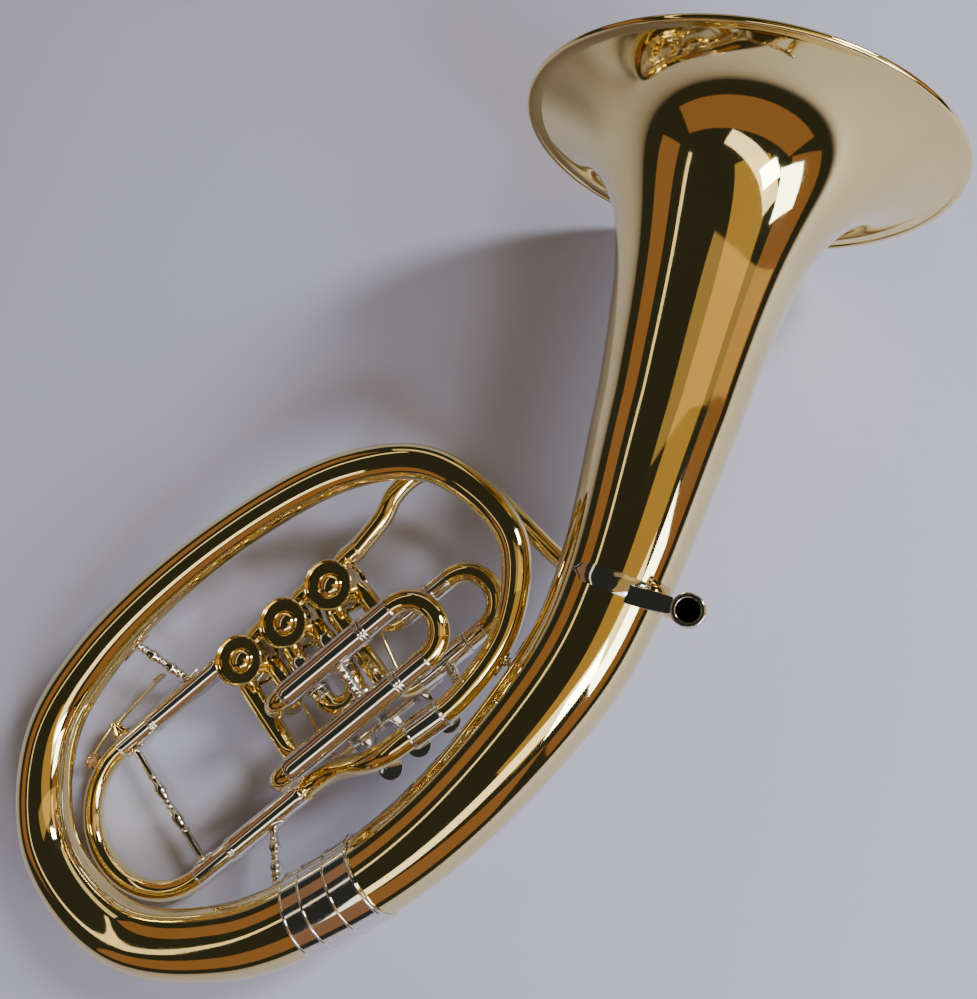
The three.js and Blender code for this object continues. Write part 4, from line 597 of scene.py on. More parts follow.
def ferrule(name, start, end, marks, sides, node):
    """A sleeve round the body with a ring at each mark."""
    proud = FIT + SHEET

    def surface(length):
        return body_radius(length) + proud

    profile = [(start, surface(start) - 0.4), (start + 0.2, surface(start + 0.2))]
    for mark in marks:
        profile += bead(mark, 1.5, 0.6, surface)
    profile += [(end - 0.2, surface(end - 0.2)), (end, surface(end) - 0.4)]
    profile += on_body(end, start, FIT / 3)
    work = turn_along(body_line, profile, sides)
    add_piece(name, work, body_board, "horn_frame", "nickel_silver", node)
    print(name, "has", len(marks), "rings")


ferrule(
    "bow_ferrule_turned", BOW_JOINT - 30, BOW_JOINT + 17,
    [BOW_JOINT - 28.8, BOW_JOINT - 17, BOW_JOINT, BOW_JOINT + 15.6], 72, "bow_ferrule",
)
ferrule("branch_ferrule_turned", 6, 30, [7.4, 28.6], 56, "branch_ferrule")

# %% [markdown]
# ## Valve casings and caps
#
# Three rotary valves stand in a row. Each has a short brass casing, a cap towards the player and a
# bearing plate on the far side. All are lathe work: a profile from the foot upwards, turned about the
# valve's own axis. The cap is a shallow cup with a domed middle. Its rim is a thin bright line, so
# the profile rounds it over instead of leaving a square edge. The floor of the cup is flat. Smooth
# shading between far points would make it look hollow, so the profile has close points at its corners.

# %% Where the valves stand
VALVE_PITCH = 35
PORT_Z = -24
CASING_RADIUS = 13.6
CASING_WALL = 1.3
CASING_HALF = 11
CAP_RADIUS = 15.1


def valve_axis(number):
    """The middle of a valve; the second stands at the middle of the row."""
    return Vector(((2 - number) * VALVE_PITCH, 0, PORT_Z))


def valve_lathe(number, profile, sides=56, hollow=True, shift=(0, 0)):
    """Turns (radius, height) pairs about a valve's axis, or about one beside it."""
    foot = valve_axis(number) + Vector((shift[0], shift[1], 0))
    line = straight(foot, foot + Vector((0, 0, 10)))
    return turn_along(line, [(height, radius) for radius, height in profile], sides, hollow)


def rounded(corner_from, corner, corner_to, radius, steps=4):
    """The arc that rounds one corner of a profile of (radius, height) pairs."""
    a, b, c = Vector(corner_from), Vector(corner), Vector(corner_to)
    come, go = (a - b).normalized(), (c - b).normalized()
    start, end = b + come * radius, b + go * radius
    rows = []
    for k in range(steps + 1):
        t = k / steps
        rows.append(tuple(start * (1 - t) ** 2 + b * 2 * t * (1 - t) + end * t * t))
    return rows


def soften(profile, radius=0.25):
    """Rounds every corner of a closed profile a little, as a lathe hand breaks the edges."""
    rows = []
    for before, corner, after in zip([profile[-1], *profile], profile, [*profile[1:], profile[0]]):
        here = Vector(corner)
        room = min((Vector(before) - here).length, (Vector(after) - here).length) / 2.2
        rows += rounded(before, corner, after, min(radius, room), 3)
    return rows


# %% Heights and radii of a valve
CASING_BORE = CASING_RADIUS - CASING_WALL
BELT_RADIUS = 14.25
SKIRT_BORE = 13.9  # of the cap and the plate, round the casing
STEM_BORE = 3.3
DOME_RADIUS = 7.1
LIP_MIDDLE, LIP_ROUND = 14.55, 0.55
plate_top = -CASING_HALF - FIT
plate_bottom = plate_top - 3.2
arm_top = plate_bottom - 0.5
arm_bottom = arm_top - 3
cup_foot = CASING_HALF + FIT
cup_floor = cup_foot + 1.7
cup_top = cup_floor + 3.6
print("a cap stands", round(cup_top - CASING_HALF, 1), "mm over its casing")


# %% Casings and bearing plates
def make_casing(number):
    casing = soften(
        [
            (CASING_BORE, -CASING_HALF),
            (CASING_RADIUS, -CASING_HALF),
            (CASING_RADIUS, 6.2),
            (BELT_RADIUS, 6.2),
            (BELT_RADIUS, 8.1),
            (CASING_RADIUS, 8.1),
            (CASING_RADIUS, CASING_HALF),
            (CASING_BORE, CASING_HALF),
        ]
    )
    add_piece(
        f"casing_{number}_turned", valve_lathe(number, casing), valve_board,
        "horn_frame", "lacquered_brass", f"valve_casing_{number}",
    )


def make_bearing_plate(number):
    plate = soften(
        [
            (STEM_BORE, plate_bottom),
            (CAP_RADIUS, plate_bottom),
            (CAP_RADIUS, -8.8),
            (SKIRT_BORE, -8.8),
            (SKIRT_BORE, plate_top),
            (STEM_BORE, plate_top),
        ]
    )
    add_piece(
        f"bearing_plate_{number}_turned", valve_lathe(number, plate), valve_board,
        "horn_frame", "nickel_silver", f"bearing_plate_{number}",
    )


print("a casing is", CASING_WALL, "mm thick and", 2 * CASING_HALF, "mm long")


# %% Caps, and each valve put together
def make_cap(number):
    lip = [(CAP_RADIUS, cup_top - 0.7)]
    for k in range(9):
        angle = math.pi * k / 8
        lip.append(
            (LIP_MIDDLE + LIP_ROUND * math.cos(angle), cup_top - LIP_ROUND + LIP_ROUND * math.sin(angle))
        )
    cup = [
        (0, cup_foot),
        (SKIRT_BORE, cup_foot),
        (SKIRT_BORE, 8.5),
        (CAP_RADIUS - 0.2, 8.5),
        (CAP_RADIUS, 8.7),
        (CAP_RADIUS, 9.7),
        (CAP_RADIUS - 0.35, 9.9),
        (CAP_RADIUS - 0.35, 10.3),
        (CAP_RADIUS, 10.5),
        *lip,
        (13.95, cup_top - 0.9),
        (13.9, cup_top - 1.2),
        (13.85, cup_floor + 0.35),
        (13.75, cup_floor + 0.1),
        (13.5, cup_floor),
        (13.3, cup_floor),
        (12.9, cup_floor),
        (8.2, cup_floor),
        (7.7, cup_floor),
        (7.45, cup_floor),
    ]
    for k in range(10):
        angle = math.radians(10 * k)
        cup.append((DOME_RADIUS * math.cos(angle), cup_floor + 0.3 + 4.3 * math.sin(angle)))
    cup[-1] = (0, cup_floor + 4.6)
    add_piece(
        f"cap_{number}_turned", valve_lathe(number, cup, 72, hollow=False), valve_board,
        "horn_frame", "lacquered_brass", f"valve_cap_{number}",
    )


for number in (1, 2, 3):
    make_casing(number)
    make_cap(number)
    make_bearing_plate(number)
print("three casings with caps and plates")

# %% [markdown]
# Behind each plate two corks stop the arm at the ends of its quarter turn. They are short plugs with
# rounded ends, pressed into round holders that stand on the plate.

# %% Corks behind the plates
LOBE_REACH = 7.8
LOBE_RADIUS = 2.2
HOLDER_RADIUS = 1.7
holder_floor = plate_bottom - 0.7
bumper_swing = math.radians(45) + 2 * math.asin((LOBE_RADIUS + HOLDER_RADIUS + FIT) / (2 * LOBE_REACH))
for number in (1, 2, 3):
    corks, holders = [], []
    for side in (-1, 1):
        angle = math.pi + side * bumper_swing
        shift = (LOBE_REACH * math.cos(angle), LOBE_REACH * math.sin(angle))
        plug = [(0, arm_bottom), (1.1, arm_bottom), (1.5, arm_bottom + 0.25), (1.6, arm_bottom + 0.7)]
        plug += [(1.65, arm_bottom + 2), (1.6, holder_floor), (0, holder_floor)]
        holder = [(0, holder_floor), (1.5, holder_floor), (HOLDER_RADIUS, plate_bottom - 0.5)]
        holder += [(HOLDER_RADIUS, plate_bottom + 0.3), (0, plate_bottom + 0.3)]
        corks.append(valve_lathe(number, plug, 24, hollow=False, shift=shift))
        holders.append(valve_lathe(number, holder, 24, hollow=False, shift=shift))
    add_piece(
        f"bumpers_{number}_cut", together(*corks), valve_board,
        "horn_frame", "cork", f"bearing_plate_{number}",
    )
    add_piece(
        f"bumper_holders_{number}_turned", together(*holders), valve_board,
        "horn_frame", "nickel_silver", f"bearing_plate_{number}",
    )
print("six corks")

# %% [markdown]
# ## Small tubes and their slides
#
# The loops of the valves are built from straight runs and round bends. Brass is used where a tube is
# bent, nickel silver where one tube slides in another, because two different metals wear less on each
# other. So every loop is made here as three kinds of piece: a brass elbow, a nickel sleeve with its
# ringed end, and a slide whose legs are nickel and whose bend is brass.

# %% Ports, pipes and knuckles
# radii of the tubes, of the legs that slide, of the sleeves round them and of the legs' collars
TUBE = 6.1
LEG = 5.9
SLEEVE = 7.2
COLLAR = 6.45
WALL = 0.75
PORT_OFFSET = 10.4
PORT_BEND = 8
RIGHT, LEFT = Vector((1, 0, 0)), Vector((-1, 0, 0))
WINDWAY, DOWN = Vector((0, 1, 0)), Vector((0, -1, 0))
PORT_ROOT = 12.12  # from the valve's axis, between the rotor and the casing's bore


def port(number, run, side):
    """A port tube's first two corners: at the casing and where it turns straight."""
    diagonal = run + side
    return [
        valve_axis(number) + diagonal.normalized() * PORT_ROOT,
        valve_axis(number) + diagonal * PORT_OFFSET,
    ]


def pipe(line, start=0.0, end=None, radius=TUBE, wall=WALL, sides=36):
    """An even tube along part of a line."""
    end = line.length if end is None else end
    profile = [
        (start, radius - wall), (start, radius - 0.12), (start + 0.12, radius),
        (end - 0.12, radius), (end, radius - 0.12), (end, radius - wall),
    ]
    return turn_along(line, profile, sides)


for number in (2, 3):
    corners = [*port(number, RIGHT, WINDWAY), *reversed(port(number - 1, LEFT, WINDWAY))]
    knuckle = pipe(bent(corners, PORT_BEND))
    name = f"knuckle_{number}_{number - 1}"
    add_piece(f"{name}_bent", knuckle, valve_board, "horn_frame", "lacquered_brass", name)
print("two knuckles between the valves")


# %% Sleeves with their elbows
def ringed_sleeve(line, start, sides=40):
    """A sleeve with a half-round ring at its open end and a soft shoulder at its root."""
    end = line.length
    bore = LEG + FIT / 2
    profile = [
        (start, TUBE - WALL), (start, TUBE + 0.2), (start + 0.7, SLEEVE - 0.2), (start + 1.1, SLEEVE),
        *bead(end - 2.6, 1.3, 0.55, even(SLEEVE)), *bead(end - 0.7, 1.2, 0.55, even(SLEEVE)),
        (end, SLEEVE - 0.15), (end, bore), (start + 1, bore), (start + 1, TUBE - WALL),
    ]
    return turn_along(line, profile, sides)


def port_tube_and_sleeve(node, number, corners, bends, sleeve_root, sleeve_end):
    """Brass up to the sleeve's root, then nickel silver up to its ringed end."""
    line = bent([*corners, sleeve_root, sleeve_end], [*bends, 1])
    root = line.length - (Vector(sleeve_end) - Vector(sleeve_root)).length
    elbow, socket = pipe(line, 0, root + 0.5), ringed_sleeve(line, root)
    add_piece(f"{node}_elbow", elbow, valve_board, "horn_frame", "lacquered_brass", node)
    add_piece(f"{node}_socket", socket, valve_board, "horn_frame", "nickel_silver", node)


print("a sleeve is", 2 * SLEEVE, "mm thick, and its bore leaves", FIT / 2, "mm round the leg")


# %% A slide: two legs and a bend
def slide_with_bend(node, body, bend_a, bend_b, away, leg_length, collar):
    """Nickel legs that end in collars, and a brass half-round bend from one collar to the other."""
    far = away * (bend_a - bend_b).length / 2
    bend = bent([bend_a, bend_a + far, bend_b + far, bend_b], (bend_a - bend_b).length / 2)
    bow = pipe(bend, 0, bend.length, sides=44)
    add_piece(f"{node}_bend", bow, valve_board, body, "lacquered_brass", node)
    legs = []
    for stop in (bend_a, bend_b):
        line = straight(stop - away * leg_length, stop)
        end = line.length
        step = end - collar
        profile = [
            (0, LEG - WALL), (0, LEG - 0.15), (0.15, LEG), (step, LEG),
            (step, COLLAR - 0.15), (step + 0.1, COLLAR), *bead(step + 0.8, 1.2, 0.45, even(COLLAR)),
            *bead(end - 0.9, 0.9, 0.18, even(COLLAR)), (end, COLLAR - 0.15), (end, LEG - WALL),
        ]
        legs.append(turn_along(line, profile, 40))
    add_piece(f"{node}_legs", together(*legs), valve_board, body, "nickel_silver", node)


print("a leg is", 2 * LEG, "mm thick, its collar", 2 * COLLAR, "mm")

# %% [markdown]
# The first valve's loop lies flat beside the row, the second is a short loop straight out, and the
# third rises in front of the others and turns back over them. Longer tube means a lower note: the
# three lengths stand for a whole tone, a semitone and a tone and a half.

# %% The loops of the three valves
first = valve_axis(1).x
third = valve_axis(3).x
ELBOW = 9
for name, run_side, offset, distance, bend in (
    ("first_sleeve_near", RIGHT, PORT_OFFSET, 39.5, ELBOW),
    ("first_sleeve_far", LEFT, -PORT_OFFSET, 75, 17),
):
    corner = Vector((first + offset, -distance, PORT_Z))
    port_tube_and_sleeve(
        name, 1, [*port(1, DOWN, run_side), corner], [PORT_BEND, bend],
        corner + RIGHT * (bend + WALL), Vector((78, -distance, PORT_Z)),
    )
slide_with_bend(
    "first_slide", "first_valve_slide",
    Vector((91, -39.5, PORT_Z)), Vector((91, -75, PORT_Z)), RIGHT, 34, 12.7,
)
for name, run_side in (("second_sleeve_left", LEFT), ("second_sleeve_right", RIGHT)):
    x = run_side.x * PORT_OFFSET
    port_tube_and_sleeve(
        name, 2, port(2, DOWN, run_side), [PORT_BEND],
        Vector((x, -17.5, PORT_Z)), Vector((x, -40, PORT_Z)),
    )
slide_with_bend(
    "second_slide", "second_valve_slide",
    Vector((PORT_OFFSET, -47.5, PORT_Z)), Vector((-PORT_OFFSET, -47.5, PORT_Z)), DOWN, 27.5, 7.2,
)
RISE = 40
for name, run_side, distance, bend in (
    ("third_sleeve_near", RIGHT, 41, 16),
    ("third_sleeve_far", LEFT, 75.3, 21.6),
):
    x = third + run_side.x * PORT_OFFSET
    low = Vector((x, -distance, PORT_Z))
    high = low + Vector((0, 0, RISE))
    port_tube_and_sleeve(
        name, 3, [*port(3, DOWN, run_side), low, high], [PORT_BEND, bend, ELBOW],
        high + RIGHT * (ELBOW + WALL), Vector((44, -distance, PORT_Z + RISE)),
    )
slide_with_bend(
    "third_slide", "third_valve_slide",
    Vector((63.5, -41, PORT_Z + RISE)), Vector((63.5, -75.3, PORT_Z + RISE)), RIGHT, 75.5, 19.2,
)
print("loops of three valves")

# %% [markdown]
# ## The main tuning slide and the outlet tube
#
# The air leaves the third valve through the upper sleeve, goes round the wide crook and comes back
# through the lower sleeve. From there the outlet tube swings up to the small ferrule of the body, and
# its radius grows on the way from that of the valve section to that of the body.

# %% The sleeves and the crook
UPPER_Y = PORT_OFFSET
LOWER_Y = PORT_OFFSET - 92
SLEEVES_END_X = -108
CROOK_X = -134
inlet = port(3, LEFT, WINDWAY)
port_tube_and_sleeve(
    "tuning_sleeve_upper", 3, inlet, [PORT_BEND],
    Vector((inlet[1].x - TUBE, UPPER_Y, PORT_Z)), Vector((SLEEVES_END_X, UPPER_Y, PORT_Z)),
)
lower_line = straight((-52, LOWER_Y, PORT_Z), (SLEEVES_END_X, LOWER_Y, PORT_Z))
add_piece(
    "tuning_sleeve_lower_socket", ringed_sleeve(lower_line, 0), valve_board,
    "horn_frame", "nickel_silver", "tuning_sleeve_lower",
)
slide_with_bend(
    "tuning_crook", "tuning_slide",
    Vector((CROOK_X, UPPER_Y, PORT_Z)), Vector((CROOK_X, LOWER_Y, PORT_Z)), LEFT, 72, 25.7,
)
print("tuning slide", SLEEVES_END_X - CROOK_X, "mm open")

# %% The outlet tube
OUTLET_X = -49
OUTLET_SWING = 32
OUTLET_COLLAR = 7.3
COLLAR_END = 4  # along the tube
body_start, body_way, _ = body_line.at(0)
outlet_to = body_to_row @ body_start
outlet_way = body_to_row.to_3x3() @ body_way
outlet_points = [
    Vector((OUTLET_X - 2.7, LOWER_Y, PORT_Z)),
    *swung(
        Vector((OUTLET_X, LOWER_Y, PORT_Z)), Vector((OUTLET_X + OUTLET_SWING, LOWER_Y, PORT_Z)),
        outlet_to - outlet_way * OUTLET_SWING, outlet_to, 60,
    ),
]
swing_end = CentreLine(outlet_points).length
for k in range(1, 10):
    outlet_points.append(body_to_row @ body_line.at(k * (BRANCH_JOINT - 0.2) / 9)[0])
outlet_line = CentreLine(outlet_points)


def outlet_radius(length):
    share = min(max(length / swing_end, 0), 1)
    return TUBE + (body_radius(0) - TUBE) * share


outlet_profile = [
    (0, 5.4), (0, OUTLET_COLLAR - 0.2), (0.2, OUTLET_COLLAR),
    *bead(1.4, 1.6, 0.35, even(OUTLET_COLLAR)), (3.0, OUTLET_COLLAR - 0.1), (3.4, TUBE),
]
count = 50
outlet_end = outlet_line.length
for k in range(count + 1):
    length = COLLAR_END + (outlet_end - COLLAR_END) * k / count
    outlet_profile.append((length, outlet_radius(length)))
for k in range(count + 1):
    length = outlet_end - (outlet_end - COLLAR_END) * k / count
    outlet_profile.append((length, outlet_radius(length) - WALL))
add_piece(
    "outlet_tube_bent", turn_along(outlet_line, outlet_profile, 44), valve_board,
    "horn_frame", "lacquered_brass", "outlet_tube",
)
print("outlet", round(outlet_end), "mm long")

# %% [markdown]
# ## Receiver and leadpipe
#
# The player's mouthpiece fits in the receiver, a nickel-silver socket with a heavier ring at its
# mouth. The leadpipe leaves it downwards, passes behind the bell and under the oval, and enters the
# first valve. Its places are shares of the body's length, as those of the main tube.

# %% The line of the leadpipe
RECEIVER_TOP = 33
RECEIVER_BOTTOM = RECEIVER_TOP - 42
LEAD_RADIUS = 5.3  # where it leaves the receiver
leadpipe_shares = [
    (0.0725, -0.4775, -0.018),
    (0.056, -0.477, -0.062),
    (0.008, -0.474, -0.084),
    (-0.067, -0.461, -0.078),
    (-0.1335, -0.4258, -0.0635),
    (-0.1785, -0.402, -0.0575),
    (-0.2215, -0.3945, -0.0535),
    (-0.2575, -0.404, -0.0495),
    (-0.278, -0.434, -0.0465),
    (-0.283, -0.461, -0.0451),
]
receiver_x = leadpipe_shares[0][0] * BODY_LENGTH
receiver_y = leadpipe_shares[0][1] * BODY_LENGTH
leadpipe_end = Vector((first + 24, PORT_OFFSET, PORT_Z))
lead_places = [
    (receiver_x, receiver_y, RECEIVER_BOTTOM + 6, LEAD_RADIUS),
    (receiver_x, receiver_y, RECEIVER_BOTTOM, LEAD_RADIUS),
    *[(*[share * BODY_LENGTH for share in shares], LEAD_RADIUS) for shares in leadpipe_shares[1:]],
    (*(row_on_body @ leadpipe_end), LEAD_RADIUS),
]
lead_points, _ = smooth_line(lead_places, 14)
entry = bent([leadpipe_end, *reversed(port(1, RIGHT, WINDWAY))], PORT_BEND)
joint = CentreLine(lead_points).length
lead_line = CentreLine(lead_points + [row_on_body @ point for point in entry.points[1:]])
print("leadpipe", round(lead_line.length), "mm long")

# %% The leadpipe and the joint at its end
JOINT_RADIUS = TUBE + 0.45
LEAD_BORE = 4.55


def lead_radius(length):
    return LEAD_RADIUS + (TUBE - LEAD_RADIUS) * min(max(length / joint, 0), 1)


lead_profile = [(0, LEAD_BORE)]
for k in range(91):
    length = joint * k / 90
    lead_profile.append((length, lead_radius(length)))
lead_profile += [
    (joint, JOINT_RADIUS), *bead(joint + 0.8, 1.2, 0.3, even(JOINT_RADIUS)),
    *bead(joint + 9, 1.0, 0.2, even(JOINT_RADIUS)), (joint + 10, TUBE + 0.4), (joint + 10.1, TUBE),
    (lead_line.length, TUBE), (lead_line.length, TUBE - WALL), (joint, TUBE - WALL),
]
for k in range(90, 0, -3):
    length = joint * k / 90
    lead_profile.append((length, lead_radius(length) - WALL))
add_piece(
    "leadpipe_bent", turn_along(lead_line, lead_profile, 40), body_board,
    "horn_frame", "lacquered_brass", "leadpipe",
)
print("leadpipe with its joint,", JOINT_RADIUS, "mm radius")

# %% The receiver
SOCKET_RADIUS = 6.2
receiver_profile = soften(
    [
        (LEAD_BORE, RECEIVER_BOTTOM + 6.3),
        (5.5, RECEIVER_BOTTOM + 6.3),
        (5.5, RECEIVER_BOTTOM),
        (7.0, RECEIVER_BOTTOM),
        (7.6, RECEIVER_BOTTOM + 1.4),
        (7.6, RECEIVER_BOTTOM + 4),
        (8.0, RECEIVER_BOTTOM + 6),
        (8.0, RECEIVER_TOP - 6.6),
        (8.9, RECEIVER_TOP - 6),
        (8.9, RECEIVER_TOP - 0.9),
        (8.2, RECEIVER_TOP),
        (SOCKET_RADIUS, RECEIVER_TOP),
    ],
    0.35,
)
receiver_line = straight((receiver_x, receiver_y, 0), (receiver_x, receiver_y, 10))
receiver = turn_along(receiver_line, [(height, radius) for radius, height in receiver_profile], 56)
add_piece("receiver_turned", receiver, body_board, "horn_frame", "nickel_silver", "receiver")
print("receiver socket", 2 * SOCKET_RADIUS, "mm wide at its mouth")

# %% [markdown]
# ## Braces
#
# Turned posts hold the tubes apart. Each stands on two thin feet, pointed ovals that hug the tubes.
# Its middle is turned like a tiny baluster: two vases that meet at a neck, with a thin ring at each of
# their ends. Only the post from the small tube to the bell is left plain. A foot is a patch of the
# tube's own surface moved out by the thickness of the sheet, so the helper below walks over the patch
# in two directions and gives it a rounded edge.

# %% A foot that hugs a tube
FOIL = 0.9  # the thickness of a foot
FOOT_TIP = 0.35  # half its width where it ends


def close_sheet(work, upper, lower):
    """Faces over, under and round a thin sheet between two grids of points."""
    rows, columns = len(upper), len(upper[0])
    for i in range(rows - 1):
        for j in range(columns - 1):
            work.faces.new((upper[i][j], upper[i][j + 1], upper[i + 1][j + 1], upper[i + 1][j]))
            work.faces.new((lower[i][j], lower[i + 1][j], lower[i + 1][j + 1], lower[i][j + 1]))
        for j in (0, columns - 1):
            work.faces.new((upper[i][j], upper[i + 1][j], lower[i + 1][j], lower[i][j]))
    for i in (0, rows - 1):
        for j in range(columns - 1):
            work.faces.new((upper[i][j], upper[i][j + 1], lower[i][j + 1], lower[i][j]))


def foot_on(line, middle, radius_at, way, foot_length, foot_width):
    """A pointed oval along a tube's surface, on the side that faces way."""
    rows, columns = 17, 9
    work = bmesh.new()
    upper, lower = [], []
    for i in range(rows):
        u = -1 + 2 * i / (rows - 1)
        length = middle + u * foot_length / 2
        centre, along, _ = line.at(length)
        radius = radius_at(length)
        out = (way - along * way.dot(along)).normalized()
        across = along.cross(out)
        half = (foot_width / 2 - FOOT_TIP) * (1 - abs(u) ** 1.7) + FOOT_TIP
        upper.append([])
        lower.append([])
        for j in range(columns):
            v = -1 + 2 * j / (columns - 1)
            angle = v * half / radius
            spoke = out * math.cos(angle) + across * math.sin(angle)
            edge = max(abs(u) ** 6, abs(v) ** 4)
            top = radius + FIT / 3 + FOIL * (1 - 0.6 * edge)
            upper[-1].append(work.verts.new(centre + spoke * top))
            lower[-1].append(work.verts.new(centre + spoke * (radius - 0.15)))
    close_sheet(work, upper, lower)
    return work


# %% A turned post
POST_RADIUS = 2.3
POST_RING = 0.6  # half the width of a thin ring
END_FLARE, END_FADE = 0.9, 1.3


def swell(height, gap, spread):
    """How much a soft swelling adds to the radius at a gap from its middle."""
    return height * math.exp(-((gap / spread) ** 2))


def turned_post(start, end, reach):
    """A slim post with flared ends; within reach of its middle it is turned to two vases."""
    line = straight(start, end)
    whole = line.length
    profile = [(0, 0)]
    count = max(40, int(whole / 0.3))
    for k in range(count + 1):
        length = whole * k / count
        radius = POST_RADIUS
        if reach:
            share = abs(length - whole / 2) / reach
            ring = POST_RING / reach
            radius += swell(-0.45, share, 0.24)  # the neck
            radius += swell(1.2, share - 0.5, 0.2)  # the belly of a vase
            radius += swell(0.8, share - 0.1, ring)  # the rings at its two ends
            radius += swell(0.9, share - 0.95, ring)
        for end_gap in (length, whole - length):
            radius += swell(END_FLARE, end_gap, END_FADE)
        profile.append((length, radius))
    profile.append((whole, 0))
    return turn_along(line, profile, 28, hollow=False, step=2)


print("a post is", 2 * POST_RADIUS, "mm thick between its vases and its feet")


# %% A whole brace
FOOT_WIDTH = 8


def brace(name, board, body, ends, reach=9):
    """Two feet and a post; an end is (line, length, radius_at, foot length)."""
    centres = [line.at(length)[0] for line, length, _, _ in ends]
    way = (centres[1] - centres[0]).normalized()
    works, seats = [], []
    for (line, length, radius_at, foot_length), centre, out in zip(ends, centres, (way, -way)):
        along = line.at(length)[1]
        slant = math.sqrt(1 - along.dot(out) ** 2)
        seats.append(centre + out * (radius_at(length) / slant + 0.1))
        works.append(foot_on(line, length, radius_at, out, foot_length, FOOT_WIDTH))
    works.append(turned_post(*seats, reach))
    add_piece(f"{name}_turned", together(*works), board, body, "nickel_silver", name)


body_from_row = CentreLine([body_to_row @ point for point in body_line.points], Vector((0, 0, 1)))
COLLAR_SEAT = 6.6  # a foot stands on the beads of the crook's collars
sleeve_radius, collar_radius = even(SLEEVE), even(COLLAR_SEAT)


def row_tube(x, y, z, radius_at, foot_length=14, reach=20):
    """A brace's end on a straight tube along the valve row."""
    return straight((x - reach, y, z), (x + reach, y, z)), reach, radius_at, foot_length


brace(
    "bow_brace", valve_board, "horn_frame",
    [row_tube(-76, LOWER_Y, PORT_Z, sleeve_radius), (body_from_row, 735, body_radius, 24)], 11,
)
brace(
    "branch_brace", valve_board, "horn_frame",
    [row_tube(-72, UPPER_Y, PORT_Z, sleeve_radius), (body_from_row, 427, body_radius, 24)], 13,
)
brace(
    "first_brace", valve_board, "horn_frame",
    [row_tube(62, -75, PORT_Z, sleeve_radius), (body_from_row, 44, body_radius, 14)], 7,
)
brace(
    "third_brace", valve_board, "horn_frame",
    [row_tube(21, y, PORT_Z + RISE, sleeve_radius) for y in (-41, -75.3)], 8,
)
brace(
    "crook_brace", valve_board, "tuning_slide",
    [row_tube(-127, y, PORT_Z, collar_radius) for y in (LOWER_Y, UPPER_Y)], 20,
)
brace(
    "bell_brace", body_board, "horn_frame",
    [(body_line, 69, body_radius, 14), (body_line, 946, body_radius, 14)], 0,
)
print("six braces")

# %% [markdown]
# ## The saddle of the receiver
#
# A plate of sheet wraps the bell's stem and points towards the left, and a flat arm reaches from it
# to the receiver. The plate follows the bell's surface, so it is drawn as an outline on the stem and
# then laid on it, the way a maker bends a cut blank over the tube.

# %% The saddle plate
saddle_tip = Vector((-23, -248))
SADDLE_END = 17.5
SADDLE_DROP, SADDLE_RUN = 3.3, 40  # it slopes a little towards its wide end
saddle_outline = [(-17.5, 4.9), (-9, 5.3), (5, 5.5), (16, 5.4)]  # (across the horn, half its height)


def saddle_half(x):
    """Half the plate's height at a place across the horn, from the pointed end to the wide one."""
    if x < saddle_outline[0][0]:
        share = (x - saddle_tip.x) / (saddle_outline[0][0] - saddle_tip.x)
        return 0.25 + (saddle_outline[0][1] - 0.25) * share
    for (from_x, from_half), (to_x, to_half) in zip(saddle_outline, saddle_outline[1:]):
        if x <= to_x:
            return from_half + (to_half - from_half) * (x - from_x) / (to_x - from_x)
    return saddle_outline[-1][1]


def on_stem(x, y, proud, tail=130):
    """The point of the bell's tail above a place of the body plane."""
    near = min(
        range(int(oval_length) - tail, int(oval_length) + 1, 2),
        key=lambda length: abs(body_line.at(length)[0].y - y),
    )
    centre, along, _ = body_line.at(near)
    radius = body_radius(near) + proud
    offset = x - centre.x
    height = math.sqrt(max(radius**2 - offset**2, 0.01))
    return Vector((x, y, height))


saddle_plate = bmesh.new()
columns, rows = 30, 7
upper, lower = [], []
for i in range(columns):
    x = saddle_tip.x + (SADDLE_END - saddle_tip.x) * i / (columns - 1)
    middle_y = saddle_tip.y - SADDLE_DROP * (x - saddle_tip.x) / SADDLE_RUN
    half = saddle_half(x)
    upper.append([])
    lower.append([])
    for j in range(rows):
        v = -1 + 2 * j / (rows - 1)
        y = middle_y + v * half
        lift = FIT / 3 + FOIL * (1 - 0.5 * abs(v) ** 6)
        upper[-1].append(saddle_plate.verts.new(on_stem(x, y, lift)))
        lower[-1].append(saddle_plate.verts.new(on_stem(x, y, -0.2)))
close_sheet(saddle_plate, upper, lower)
print("saddle plate", SADDLE_END - saddle_tip.x, "mm long")


# %% A flat strap and a disc
def strap(places, wide, widths, thicknesses, corner=0.4):
    """A flat bar along a row of places; wide is the direction of its width."""
    line_points = [Vector(place) for place in places]
    wide = Vector(wide).normalized()
    work = bmesh.new()
    rings = []
    last = len(line_points) - 1
    for k, point in enumerate(line_points):
        along = (line_points[min(k + 1, last)] - line_points[max(k - 1, 0)]).normalized()
        flat = along.cross(wide).normalized()
        across = flat.cross(along)
        a, b = widths[k] / 2, thicknesses[k] / 2
        broken = min(corner, a * 0.6, b * 0.6)
        ring = []
        for sx, sy, turn in ((1, 1, 0), (-1, 1, 90), (-1, -1, 180), (1, -1, 270)):
            for step in range(4):
                angle = math.radians(turn + step * 30)
                x = sx * (a - broken) + broken * math.cos(angle)
                y = sy * (b - broken) + broken * math.sin(angle)
                ring.append(work.verts.new(point + across * x + flat * y))
        rings.append(ring)
    count = len(rings[0])
    for ring, after in zip(rings, rings[1:]):
        for k in range(count):
            n = (k + 1) % count
            work.faces.new((ring[k], ring[n], after[n], after[k]))
    work.faces.new(rings[0])
    work.faces.new(list(reversed(rings[-1])))
    return work


